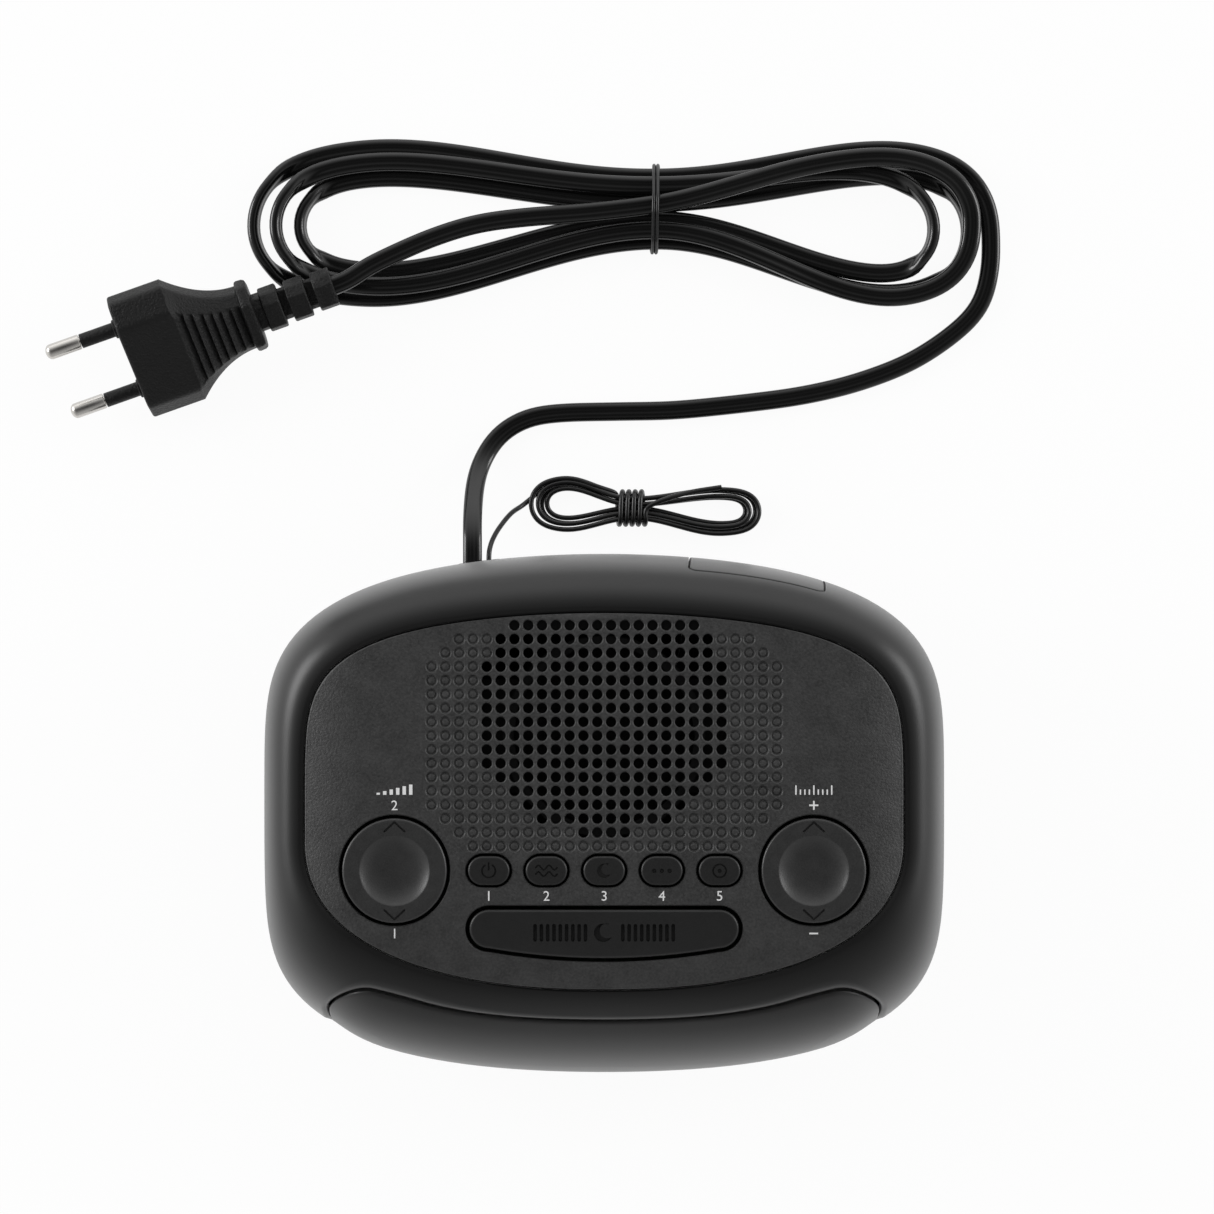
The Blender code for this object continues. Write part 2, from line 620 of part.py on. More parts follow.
DOOR_WALL_Y = wall_y(DOOR_X, DOOR_SET_Z)
DOOR_FRAME = Matrix.Translation((DOOR_X, DOOR_WALL_Y, 0.0)) @ Matrix.Rotation(DOOR_TURN, 4, "Z")
DOOR_EDGE_Y = (wall_y(DOOR_X, DOOR_BOTTOM_Z) - DOOR_WALL_Y) / math.cos(DOOR_TURN)
BUSH_WALL_Y = wall_y(BUSH_X, BUSH_Z)
BUSH_FACE_Y = BUSH_WALL_Y + BUSH_PROUD
BUTTON_XS = [BUTTON_PITCH * (i - 2) for i in range(5)]
BAR_CENTRE = (0.0, BAR_REAR_Y - BAR_END_RADIUS)
BUTTON_CENTRES = [(x, KEY_ROW_Y) for x in BUTTON_XS]
ROCKER_CENTRES = [(-ROCKER_X, KEY_ROW_Y), (ROCKER_X, KEY_ROW_Y)]
ROCKER_AXIS_Z = CASE_TOP - ROCKER_AXIS_DROP
POST_REAR_X = ROCKER_X - ROCKER_RADIUS - 0.6 * MM
POST_FRONT_X = BAR_HALF_LENGTH + FLANGE_REACH + POST_RADIUS + 1.4 * MM
KEY_POSTS = [(side * x, y) for side in (-1, 1)
             for x, y in ((POST_REAR_X, -3.0 * MM), (POST_FRONT_X, -30.0 * MM))]


def door_outline(grow):
    """The battery door's outline on the rear wall, about its frame."""
    half = DOOR_WIDTH / 2 + grow
    return rounded_box(half, DOOR_BOTTOM_Z - grow, DOOR_TOP_Z + grow, 2.0 * MM, 4)


def door_block(name, grow):
    """A block through the rear wall with the door's outline."""
    bm = bmesh.new()
    stand = DOOR_FRAME @ Matrix.Rotation(math.pi / 2, 4, "X")
    add_prism(bm, door_outline(grow), -12.0 * MM, 9.0 * MM, stand)
    return add_tool(name, bm)


def lens_block(name, grow):
    """A block through the front wall with the lens's outline."""
    bm = bmesh.new()
    outline = rounded_box(LENS_HALF + grow, LENS_BOTTOM_Z - grow, LENS_TOP_Z + grow, LENS_CORNER)
    add_prism(bm, outline, HALF_DEPTH - 46.0 * MM, HALF_DEPTH + 10.0 * MM,
              Matrix.Rotation(math.pi / 2, 4, "X"))
    return add_tool(name, bm)


# Case

def build_housing():
    """Upper housing: outer wall, ledge for the panel, screw bosses, openings for lens, door and bush."""
    rings = [case_ring(level) for level in SHELL_LEVELS]
    edges = [panel_plan(angle) for angle in ANGLES]
    ledge_z = [panel_z(edge.x, edge.y) - PANEL_THICK - GAP for edge in edges]
    outer = [panel_plan(angle, -PANEL_GAP) for angle in ANGLES]
    inner = [panel_plan(angle, LEDGE) for angle in ANGLES]
    rings.append([Vector((p.x, p.y, z)) for p, z in zip(outer, ledge_z)])
    rings.append([Vector((p.x, p.y, z)) for p, z in zip(inner, ledge_z)])
    rings.append([Vector((p.x, p.y, z - LEDGE_THICK)) for p, z in zip(inner, ledge_z)])
    rings += [case_ring(level, WALL) for level in INSIDE_LEVELS]
    bm = bmesh.new()
    add_loft(bm, rings, closed=True)
    housing = add_part("upper_housing", bm, SOFT_BLACK)

    bm = bmesh.new()
    for place in BOSS_PLACES:
        add_cylinder(bm, (*place, SPLIT_Z + GAP), (*place, BOSS_TOP_Z), BOSS_RADIUS, 12)
    boolean(housing, add_tool("housing_bosses", bm), "UNION")
    bm = bmesh.new()
    for place in BOSS_PLACES:
        add_cylinder(bm, (*place, SPLIT_Z - GAP), (*place, BOSS_TOP_Z - 2 * MM), SCREW_RADIUS + GAP, 10)
    low = Vector((BUSH_X - BUSH_WIDTH / 2 - GAP, BUSH_WALL_Y - 8 * MM, BUSH_Z - BUSH_HEIGHT / 2 - GAP))
    high = Vector((BUSH_X + BUSH_WIDTH / 2 + GAP, BUSH_WALL_Y + 8 * MM, BUSH_Z + BUSH_HEIGHT / 2 + GAP))
    add_box(bm, low, high)
    boolean(housing, add_tool("housing_bores", bm), "DIFFERENCE")
    boolean(housing, lens_block("lens_opening", LENS_GAP), "DIFFERENCE")
    boolean(housing, door_block("door_opening", DOOR_GAP), "DIFFERENCE")


def build_base():
    """Base cover: a tray with screw pillars and posts for what stands on it."""
    rim = SPLIT_Z - GAP
    rings = [base_ring(WALL + 3.0 * MM, BASE_FLOOR_Z), base_ring(WALL + 0.8 * MM, BASE_FLOOR_Z + 1.2 * MM),
             base_ring(WALL, rim), base_ring(0.0, rim), base_ring(0.5 * MM, 6.0 * MM),
             base_ring(1.8 * MM, 3.6 * MM), base_ring(4.0 * MM, BASE_Z)]
    bm = bmesh.new()
    add_loft(bm, rings)
    base = add_part("base_cover", bm, SOFT_BLACK)

    sink = BASE_FLOOR_Z - 1.0 * MM
    bm = bmesh.new()
    for place in BOSS_PLACES:
        add_cylinder(bm, (*place, sink), (*place, SPLIT_Z), BOSS_RADIUS, 12)
    x, y = MAIN_BOARD_CENTRE
    for sign_x in (-1, 1):
        for sign_y in (-1, 1):
            post = (x + sign_x * (MAIN_BOARD_SIZE[0] / 2 - 5 * MM),
                    y + sign_y * (MAIN_BOARD_SIZE[1] / 2 - 5 * MM))
            add_cylinder(bm, (*post, sink), (*post, MAIN_BOARD_Z - GAP), 2.6 * MM, 10)
    x, y = TRANSFORMER_CENTRE
    for sign in (-1, 1):
        side = x + sign * (CORE_SIZE[0] / 2 - 3 * MM)
        add_box(bm, (side - 2 * MM, y - CORE_SIZE[1] / 2, sink),
                (side + 2 * MM, y + CORE_SIZE[1] / 2, TRANSFORMER_Z - GAP))
    edge = DISPLAY_FRAME @ Vector((0.0, DISPLAY_BOARD_OFFSET + BOARD_THICK / 2, -DISPLAY_BOARD_SIZE[2] / 2))
    for side in (-1, 1):
        x = side * DISPLAY_BOARD_SIZE[0] / 3
        add_box(bm, (x - 2 * MM, edge.y - 2 * MM, sink), (x + 2 * MM, edge.y + 2 * MM, edge.z - GAP))
    for along in (-18.0 * MM, -48.0 * MM):
        add_box(bm, (-10 * MM, along - 1 * MM, sink), (10 * MM, along + 1 * MM, BAY_BOTTOM_Z - GAP),
                DOOR_FRAME)
    boolean(base, add_tool("base_posts", bm), "UNION")
    bm = bmesh.new()
    for place in BOSS_PLACES:
        add_cylinder(bm, (*place, BASE_Z - 1 * MM), (*place, SCREW_WELL_Z), SCREW_HEAD_RADIUS + 0.6 * MM, 12)
    boolean(base, add_tool("screw_wells", bm), "DIFFERENCE")
    bm = bmesh.new()
    for place in BOSS_PLACES:
        add_cylinder(bm, (*place, SCREW_WELL_Z - 1 * MM), (*place, SPLIT_Z + 1 * MM), SCREW_RADIUS + GAP, 10)
    boolean(base, add_tool("screw_holes", bm), "DIFFERENCE")


def build_feet_and_screws():
    """Four rubber feet under the base and four case screws in their wells."""
    feet = [(FOOT_X, FOOT_Y), (-FOOT_X, FOOT_Y), (-FOOT_X, -FOOT_Y), (FOOT_X, -FOOT_Y)]
    top = BASE_Z - GAP
    for name, (x, y), place in zip(CORNER_NAMES, feet, BOSS_PLACES):
        bm = bmesh.new()
        add_cylinder(bm, (0, 0, 0), (0, 0, top), FOOT_RADIUS - 0.8 * MM, 16, FOOT_RADIUS)
        add_part("foot_" + name, bm, RUBBER, (x, y, 0.0))
        bm = bmesh.new()
        seat = SCREW_WELL_Z - GAP
        profile = [(0, SCREW_TIP_Z), (SCREW_RADIUS * 0.5, SCREW_TIP_Z), (SCREW_RADIUS, SCREW_TIP_Z - 2 * MM),
                   (SCREW_RADIUS, seat), (SCREW_HEAD_RADIUS, seat),
                   (SCREW_HEAD_RADIUS, seat - SCREW_HEAD * 0.6),
                   (SCREW_HEAD_RADIUS * 0.7, seat - SCREW_HEAD), (0, seat - SCREW_HEAD)]
        add_turned(bm, profile, 10)
        add_part("case_screw_" + name, bm, STEEL, (*place, 0.0))


# Control panel and keys

def build_panel():
    """Control panel: a thin crowned plate with the grille, key openings, lugs and posts."""
    flat = (PANEL_HALF_WIDTH - FLAT_MARGIN_SIDE - 0.4 * MM,
            PANEL_REAR_Y - FLAT_MARGIN_REAR - PANEL_WIDEST_Y - 0.1 * MM,
            PANEL_WIDEST_Y - PANEL_FRONT_Y - FLAT_MARGIN_FRONT - 0.2 * MM)

    def blend_ring(share, under):
        ring = []
        for angle in ANGLES:
            core = oval(angle, *flat, PANEL_REAR_CORNER, PANEL_FRONT_CORNER, PANEL_REAR_BOW, 0.0)
            point = (core + Vector((0.0, PANEL_WIDEST_Y))).lerp(panel_plan(angle), share)
            ring.append(Vector((point.x, point.y, panel_z(point.x, point.y) - under)))
        return ring

    def edge_ring(inset, drop):
        ring = []
        for angle in ANGLES:
            point = panel_plan(angle, inset)
            edge = panel_plan(angle)
            ring.append(Vector((point.x, point.y, panel_z(edge.x, edge.y) - drop)))
        return ring

    rings = [blend_ring(share, 0.0) for share in (0.0, 0.4, 0.7, 0.93)]
    rings += [edge_ring(PANEL_CHAMFER, 0.02 * MM), edge_ring(0.0, PANEL_CHAMFER), edge_ring(0.0, PANEL_THICK)]
    rings += [blend_ring(share, PANEL_THICK) for share in (0.6, 0.0)]
    bm = bmesh.new()
    add_loft(bm, rings)
    bmesh.ops.triangulate(bm, faces=bm.faces)
    panel = add_part("control_panel", bm, GRAINED_BLACK)

    root = PANEL_UNDER_Z + 0.8 * MM
    bm = bmesh.new()
    for x, y in ROCKER_CENTRES:
        for side in (-1, 1):
            near = x + side * (ROCKER_RADIUS + ROCKER_GAP + 0.3 * MM)
            far = near + side * LUG_THICK
            low = (min(near, far), y - LUG_WIDTH / 2, ROCKER_AXIS_Z - TRUNNION_RADIUS - 1.3 * MM)
            add_box(bm, low, (max(near, far), y + LUG_WIDTH / 2, root - 0.6 * MM))
    for x, y in KEY_POSTS:
        add_cylinder(bm, (x, y, KEY_BOARD_Z + GAP), (x, y, root), POST_RADIUS, 8)
    for side in (-1, 1):
        for along in (-1, 1):
            x, y = side * CLAMP_POST_X, SPEAKER_Y + along * CLAMP_POST_Y
            add_cylinder(bm, (x, y, PANEL_UNDER_Z - SPEAKER_FLANGE - GAP), (x, y, root), POST_RADIUS, 8)
    boolean(panel, add_tool("panel_posts", bm), "UNION")

    bm = bmesh.new()
    deep, high = PANEL_UNDER_Z - 6 * MM, CASE_TOP + 3 * MM
    for x, y in ROCKER_CENTRES:
        add_cylinder(bm, (x, y, deep), (x, y, high), ROCKER_RADIUS + ROCKER_GAP, 20)
    for centre in BUTTON_CENTRES:
        outline = stadium(BUTTON_LENGTH / 2 + KEY_GAP, BUTTON_WIDTH / 2 + KEY_GAP, centre)
        add_prism(bm, outline, deep, high)
    outline = stadium(BAR_HALF_LENGTH + BAR_GAP, BAR_END_RADIUS + BAR_GAP, BAR_CENTRE, BAR_BULGE)
    add_prism(bm, outline, deep, high)
    for row, half in enumerate(GRILLE_HALF_ROWS):
        y = GRILLE_REAR_Y - row * GRILLE_PITCH
        for column in range(-half + (half + row) % 2, half, GRILLE_STRIDE):
            x = (column + 0.5) * GRILLE_PITCH
            corner = math.tau / GRILLE_SIDES
            radius = GRILLE_HOLE / 2 * math.sqrt(corner / math.sin(corner))
            add_cylinder(bm, (x, y, PANEL_UNDER_Z - 1 * MM), (x, y, high), radius, GRILLE_SIDES,
                         turn=math.pi / 4)
    boolean(panel, add_tool("panel_openings", bm), "DIFFERENCE")
    bm = bmesh.new()
    reach = ROCKER_RADIUS + ROCKER_GAP + LUG_THICK + 1.5 * MM
    for x, y in ROCKER_CENTRES:
        add_cylinder(bm, (x - reach, y, ROCKER_AXIS_Z), (x + reach, y, ROCKER_AXIS_Z),
                     TRUNNION_RADIUS + GAP, 10)
    boolean(panel, add_tool("trunnion_bores", bm), "DIFFERENCE")


def key_cap(outline, flange, proud, stems, stem_end):
    """A cap whose top follows the panel, with a flange under the panel and stems to its switches."""
    bm = bmesh.new()
    under = [panel_z(x, y) - PANEL_THICK - GAP for x, y in flange]
    seat = min(under)
    _, top = add_prism(bm, outline, seat - FLANGE_THICK * 0.5, CASE_TOP + proud)
    for vert in top:
        vert.co.z = panel_z(vert.co.x, vert.co.y) + proud
    cap = bm
    tool = bmesh.new()
    add_prism(tool, flange, seat - FLANGE_THICK, seat)
    for x, y in stems:
        add_cylinder(tool, (x, y, stem_end), (x, y, seat - FLANGE_THICK * 0.4), STEM_RADIUS, 10)
    return cap, tool


def build_buttons():
    """Five push buttons; each slides straight down onto its switch."""
    for name, centre in zip(BUTTON_NAMES, BUTTON_CENTRES):
        outline = stadium(BUTTON_LENGTH / 2, BUTTON_WIDTH / 2, centre)
        flange = stadium(BUTTON_LENGTH / 2 + FLANGE_REACH, BUTTON_WIDTH / 2 + FLANGE_REACH, centre)
        cap, foot = key_cap(outline, flange, BUTTON_PROUD, [centre], SWITCH_TOP_Z + BUTTON_PLAY)
        button = add_part(name + "_button", cap, SATIN_BLACK)
        boolean(button, add_tool(name + "_button_foot", foot), "UNION")
        boolean_foot = button.modifiers[-1]
        boolean_foot.use_self = True


def build_snooze_bar():
    """The long bar in front of the buttons; it slides straight down onto one switch."""
    outline = stadium(BAR_HALF_LENGTH, BAR_END_RADIUS, BAR_CENTRE, BAR_BULGE)
    flange = stadium(BAR_HALF_LENGTH + FLANGE_REACH, BAR_END_RADIUS + FLANGE_REACH, BAR_CENTRE, BAR_BULGE)
    cap, foot = key_cap(outline, flange, BUTTON_PROUD, [BAR_CENTRE], SWITCH_TOP_Z + BAR_PLAY)
    bar = add_part("snooze_bar", cap, SATIN_BLACK)
    boolean(bar, add_tool("snooze_bar_foot", foot), "UNION")
    bar.modifiers[-1].use_self = True


def build_rockers():
    """Two round rockers on trunnions; each tips onto the switch at its rear or at its front."""
    rim = ROCKER_AXIS_DROP + ROCKER_PROUD
    under = rim - ROCKER_THICK
    dish = []
    for i in range(4):
        r = ROCKER_DISH * i / 3
        dish.append((r, rim - ROCKER_DISH_DEPTH * (1 - (r / ROCKER_DISH) ** 2)))
    profile = dish + [(ROCKER_RADIUS - 0.7 * MM, rim), (ROCKER_RADIUS, rim - 0.6 * MM),
                      (ROCKER_RADIUS, under), (0, under)]
    post_end = SWITCH_TOP_Z + ROCKER_PLAY - ROCKER_AXIS_Z
    for name, (x, y) in zip(("volume_rocker", "tuning_rocker"), ROCKER_CENTRES):
        bm = bmesh.new()
        add_turned(bm, profile, 20)
        rocker = add_part(name, bm, SATIN_BLACK, (x, y, ROCKER_AXIS_Z))
        bm = bmesh.new()
        for side in (-1, 1):
            tab = side * (ROCKER_RADIUS - 1.6 * MM)
            add_box(bm, (tab - 1.2 * MM, -2.2 * MM, -TRUNNION_RADIUS - 0.6 * MM),
                    (tab + 1.2 * MM, 2.2 * MM, under + 0.8 * MM))
            add_cylinder(bm, (tab, 0, 0), (side * (ROCKER_RADIUS + TRUNNION_REACH), 0, 0),
                         TRUNNION_RADIUS, 10)
            place = side * ROCKER_POST_OFFSET
            add_cylinder(bm, (0, place, post_end), (0, place, under + 0.8 * MM), STEM_RADIUS, 10)
        tool = add_tool(name + "_trunnions", bm)
        tool.location = rocker.location
        boolean(rocker, tool, "UNION")
        rocker.modifiers[-1].use_self = True


def switch_places():
    """Name and place of each switch on the key board."""
    places = [("switch_" + name, centre) for name, centre in zip(BUTTON_NAMES, BUTTON_CENTRES)]
    for name, (x, y) in zip(("volume", "tuning"), ROCKER_CENTRES):
        places.append(("switch_" + name + "_up", (x, y + ROCKER_POST_OFFSET)))
        places.append(("switch_" + name + "_down", (x, y - ROCKER_POST_OFFSET)))
    places.append(("switch_snooze", BAR_CENTRE))
    return places


def build_key_board():
    """Board under the keys, cut back round the loudspeaker, with one switch for each press."""
    front = BAR_CENTRE[1] - KEY_BOARD_MARGIN
    rear = KEY_ROW_Y + ROCKER_POST_OFFSET + KEY_BOARD_MARGIN / 2
    half = ROCKER_X + KEY_BOARD_MARGIN
    bm = bmesh.new()
    add_box(bm, (-half, front, KEY_BOARD_Z - BOARD_THICK), (half, rear, KEY_BOARD_Z))
    board = add_part("key_board", bm, BOARD)
    bm = bmesh.new()
    centre = (0.0, SPEAKER_Y)
    add_cylinder(bm, (*centre, KEY_BOARD_Z - 5 * MM), (*centre, KEY_BOARD_Z + 5 * MM),
                 SPEAKER_RADIUS - 2.0 * MM, 32)
    boolean(board, add_tool("key_board_notch", bm), "DIFFERENCE")
    for name, (x, y) in switch_places():
        bm = bmesh.new()
        low = KEY_BOARD_Z + GAP
        half = SWITCH_SIZE / 2
        add_box(bm, (x - half, y - half, low), (x + half, y + half, KEY_BOARD_Z + SWITCH_BODY))
        switch = add_part(name, bm, SWITCH_BLACK)
        bm = bmesh.new()
        add_cylinder(bm, (x, y, low + 1 * MM), (x, y, SWITCH_TOP_Z), SWITCH_PLUNGER_RADIUS, 8)
        boolean(switch, add_tool(name + "_plunger", bm), "UNION")


# Display

def build_display():
    """Smoked lens in the front wall; LED module and its board lean behind it."""
    lens = add_part("display_lens", wall_layer(LENS_RECESS, LENS_RECESS + LENS_THICK), SMOKED)
    boolean(lens, lens_block("lens_outline", 0.0), "INTERSECT")
    frame = add_empty("display_frame", DISPLAY_PLACE, lean_x=-DISPLAY_LEAN)
    for name, size, offset, material in (
            ("display_module", DISPLAY_SIZE, 0.0, LED_FACE),
            ("display_board", DISPLAY_BOARD_SIZE, DISPLAY_BOARD_OFFSET, BOARD)):
        half = Vector(size) / 2
        shift = Vector((0.0, offset, 0.0))
        bm = bmesh.new()
        add_box(bm, shift - half, shift + half)
        add_part(name, bm, material, parent=frame)


# Loudspeaker

def build_speaker():
    """Loudspeaker against the panel's underside, held by a clamp plate on four posts."""
    top = PANEL_UNDER_Z - GAP
    flange = top - SPEAKER_FLANGE
    seat = flange - SPEAKER_DEPTH
    place = (0.0, SPEAKER_Y, 0.0)
    throat = MAGNET_RADIUS * 0.62
    step = CONE_RADIUS + 0.6 * MM
    sheet = SPEAKER_SHEET
    profile = [(step - 1.6 * MM, top - 3.0 * MM), (step, top - 3.0 * MM), (step, top), (SPEAKER_RADIUS, top),
               (SPEAKER_RADIUS, flange), (step + sheet, flange), (step + sheet, top - 3.0 * MM - sheet),
               (MAGNET_RADIUS, seat), (throat, seat), (throat, seat + sheet),
               (MAGNET_RADIUS - sheet, seat + sheet)]
    bm = bmesh.new()
    add_turned(bm, profile, 20)
    add_part("speaker_basket", bm, STEEL, place)

    rim = top - 3.0 * MM + CONE_PLAY
    neck = throat - 1.2 * MM
    low = seat + 2.4 * MM
    profile = [(0, low + 3.4 * MM), (neck * 0.6, low + 2.8 * MM), (neck, low + CONE_SHEET),
               (CONE_RADIUS - 2.2 * MM, rim + CONE_SHEET),
               (CONE_RADIUS, rim + CONE_SHEET), (CONE_RADIUS, rim), (CONE_RADIUS - 2.2 * MM, rim),
               (neck, low),
               (neck, seat - 1.5 * MM), (neck - 0.8 * MM, seat - 1.5 * MM),
               (neck - 0.8 * MM, low + 1.2 * MM), (0, low + 2.4 * MM)]
    bm = bmesh.new()
    add_turned(bm, profile, 20)
    add_part("speaker_cone", bm, PAPER, place)

    upper = seat - GAP
    gap_in, gap_out = neck - 1.6 * MM, neck + 0.8 * MM
    profile = [(0, upper), (gap_in, upper), (gap_in, upper - 4 * MM), (gap_out, upper - 4 * MM),
               (gap_out, upper),
               (MAGNET_RADIUS, upper), (MAGNET_RADIUS, upper - MAGNET_HEIGHT), (0, upper - MAGNET_HEIGHT)]
    bm = bmesh.new()
    add_turned(bm, profile, 16)
    add_part("speaker_magnet", bm, FERRITE, place)

    bm = bmesh.new()
    high = flange - GAP
    hole = step + sheet + 0.5 * MM
    add_cylinder(bm, (0, SPEAKER_Y, high - CLAMP_THICK), (0, SPEAKER_Y, high), hole + CLAMP_RIM, 24)
    clamp = add_part("speaker_clamp", bm, STEEL)
    bm = bmesh.new()
    half_x, half_y = CLAMP_POST_X + 3 * MM, CLAMP_POST_Y + 3 * MM
    outline = rounded_box(half_x, SPEAKER_Y - half_y, SPEAKER_Y + half_y, 3 * MM, 4)
    add_prism(bm, outline, high - CLAMP_THICK, high)
    boolean(clamp, add_tool("clamp_ears", bm), "UNION")
    bm = bmesh.new()
    add_cylinder(bm, (0, SPEAKER_Y, high - 9 * MM), (0, SPEAKER_Y, high + 2 * MM), hole, 24)
    boolean(clamp, add_tool("clamp_hole", bm), "DIFFERENCE")


# Boards and power supply

def build_main_board():
    """Main board with its tallest parts, the ferrite rod on two saddles and the rod's coil."""
    x, y = MAIN_BOARD_CENTRE
    half = Vector(MAIN_BOARD_SIZE) / 2
    centre = Vector((x, y, MAIN_BOARD_Z + BOARD_THICK / 2))
    top = MAIN_BOARD_Z + BOARD_THICK
    bm = bmesh.new()
    add_box(bm, centre - half, centre + half)
    board = add_part("main_board", bm, BOARD)
    rod_y = y + 6 * MM
    rod_z = top + ROD_HEIGHT
    bm = bmesh.new()
    sink = top - 0.6 * MM
    for along in (-ROD_LENGTH / 2 + 8 * MM, ROD_LENGTH / 2 - 8 * MM):
        add_box(bm, (x + along - 3 * MM, rod_y - 4 * MM, sink),
                (x + along + 3 * MM, rod_y + 4 * MM, rod_z - ROD_RADIUS - GAP))
    add_box(bm, (x - 6 * MM, y - 13 * MM, sink), (x + 6 * MM, y - 3 * MM, top + 2.2 * MM))
    add_box(bm, (x + 20 * MM, y - 12 * MM, sink), (x + 34 * MM, y - 6 * MM, top + 5 * MM))
    for along, radius, height in ((-38 * MM, 5 * MM, 14 * MM), (-26 * MM, 4 * MM, 11 * MM)):
        add_cylinder(bm, (x + along, y - 7 * MM, sink), (x + along, y - 7 * MM, top + height), radius, 12)
    boolean(board, add_tool("main_board_parts", bm), "UNION")

    bm = bmesh.new()
    add_cylinder(bm, (-ROD_LENGTH / 2, 0, 0), (ROD_LENGTH / 2, 0, 0), ROD_RADIUS, 14)
    add_part("ferrite_rod", bm, FERRITE, (x, rod_y, rod_z))
    bm = bmesh.new()
    profile = [(COIL_RADIUS, COIL_LENGTH / 2), (COIL_RADIUS, -COIL_LENGTH / 2),
               (ROD_RADIUS + GAP, -COIL_LENGTH / 2), (ROD_RADIUS + GAP, COIL_LENGTH / 2)]
    add_turned(bm, profile, 14, Matrix.Rotation(math.pi / 2, 4, "Y"))
    add_part("ferrite_coil", bm, COPPER, (x + 2 * MM, rod_y, rod_z))


def build_transformer():
    """Mains transformer: a laminated core round its winding."""
    x, y = TRANSFORMER_CENTRE
    half = Vector(CORE_SIZE) / 2
    centre = Vector((x, y, TRANSFORMER_Z + half.z))
    window = Vector((half.x - CORE_LIMB, WINDING_LENGTH / 2, half.z - CORE_LIMB))
    bm = bmesh.new()
    add_box(bm, centre - half, centre + half)
    core = add_part("transformer_core", bm, STEEL)
    bm = bmesh.new()
    add_box(bm, centre - window, centre + window)
    boolean(core, add_tool("core_window", bm), "DIFFERENCE")
    clear = Vector((GAP, 0.0, GAP))
    bm = bmesh.new()
    add_box(bm, centre - window + clear, centre + window - clear)
    add_part("transformer_winding", bm, COPPER)


# Backup battery

def build_battery():
    """Bay behind the rear door, block battery with its snap connector, and the door itself."""
    frame = add_empty("battery_frame", (DOOR_X, DOOR_WALL_Y, 0.0), turn_z=DOOR_TURN)
    half_x = BATTERY_SIZE[0] / 2
    bottom = BAY_BOTTOM_Z + BAY_WALL + BAY_PLAY
    mouth = -BAY_SETBACK
    end = mouth - BATTERY_SIZE[1] - SNAP_THICK - 3 * GAP
    inner_low = Vector((-half_x - BAY_PLAY, end, BAY_BOTTOM_Z + BAY_WALL))
    inner_high = Vector((half_x + BAY_PLAY, mouth + 2 * MM, bottom + BATTERY_SIZE[2] + BAY_PLAY))
    wall = Vector((BAY_WALL, BAY_WALL, BAY_WALL))
    bm = bmesh.new()
    add_box(bm, inner_low - wall, Vector((inner_high.x + BAY_WALL, mouth, inner_high.z + BAY_WALL)))
    bay = add_part("battery_bay", bm, SATIN_BLACK, parent=frame)
    bm = bmesh.new()
    add_box(bm, inner_low, inner_high, DOOR_FRAME)
    boolean(bay, add_tool("bay_hollow", bm), "DIFFERENCE")

    bm = bmesh.new()
    near = mouth - GAP
    far = near - BATTERY_SIZE[1]
    outline = rounded_box(half_x, bottom, bottom + BATTERY_SIZE[2], 2.5 * MM, 4)
    add_prism(bm, outline, -near, -far, Matrix.Rotation(math.pi / 2, 4, "X"))
    add_part("backup_battery", bm, BATTERY_JACKET, parent=frame)
    bm = bmesh.new()
    snap_low = bottom + 1.5 * MM
    add_box(bm, (-half_x + 1 * MM, far - GAP - SNAP_THICK, snap_low),
            (half_x - 1 * MM, far - GAP, bottom + BATTERY_SIZE[2] - 1.5 * MM))
    add_part("battery_snap", bm, PVC, parent=frame)

    hinge = DOOR_FRAME @ Vector((0.0, DOOR_EDGE_Y + DOOR_AXIS_OUT, DOOR_BOTTOM_Z))
    door = add_part("battery_door", wall_layer(0.0, WALL), SOFT_BLACK, hinge)
    door.data.transform(Matrix.Translation(-hinge))
    boolean(door, door_block("door_outline", 0.0), "INTERSECT")
    bm = bmesh.new()
    face = -(WALL + TUCK + 3 * GAP)
    for side in (-1, 1):
        near, far = side * TAB_SPACING / 2 - TAB_WIDTH / 2, side * TAB_SPACING / 2 + TAB_WIDTH / 2
        root, top = DOOR_BOTTOM_Z + 1.2 * MM, DOOR_BOTTOM_Z + 4 * MM
        add_box(bm, (near, face - TAB_THICK, DOOR_BOTTOM_Z - TAB_REACH), (far, face, top), DOOR_FRAME)
        add_box(bm, (near, face - TAB_THICK / 2, root), (far, -(WALL + TUCK) / 2, top), DOOR_FRAME)
    boolean(door, add_tool("door_tabs", bm), "UNION")
    door.modifiers[-1].use_self = True


# Leads

def smooth_path(points, count):
    """Evenly spaced points on a centripetal spline through a route, in metres."""
    p = np.array(points, dtype=float)
    first, last = 2 * p[0] - p[1], 2 * p[-1] - p[-2]
    p = np.vstack((first, p, last))
    fine = []
    for i in range(1, len(p) - 2):
        t = np.linspace(0, 1, 24, endpoint=False)[:, None]
        a, b, c, d = p[i - 1], p[i], p[i + 1], p[i + 2]
        fine.append(0.5 * ((2 * b) + (c - a) * t + (2 * a - 5 * b + 4 * c - d) * t ** 2
                           + (3 * b - a - 3 * c + d) * t ** 3))
    fine = np.vstack(fine + [p[-2:-1]])
    return even_points(fine, count)


def even_points(fine, count):
    """Resample a dense path at equal steps."""
    steps = np.linalg.norm(np.diff(fine, axis=0), axis=1)
    along = np.concatenate(([0.0], np.cumsum(steps)))
    wanted = np.linspace(0.0, along[-1], count)
    return np.stack([np.interp(wanted, along, fine[:, axis]) for axis in range(3)], axis=1)


def path_length(points):
    """Length of a path in metres."""
    return float(np.linalg.norm(np.diff(points, axis=0), axis=1).sum())


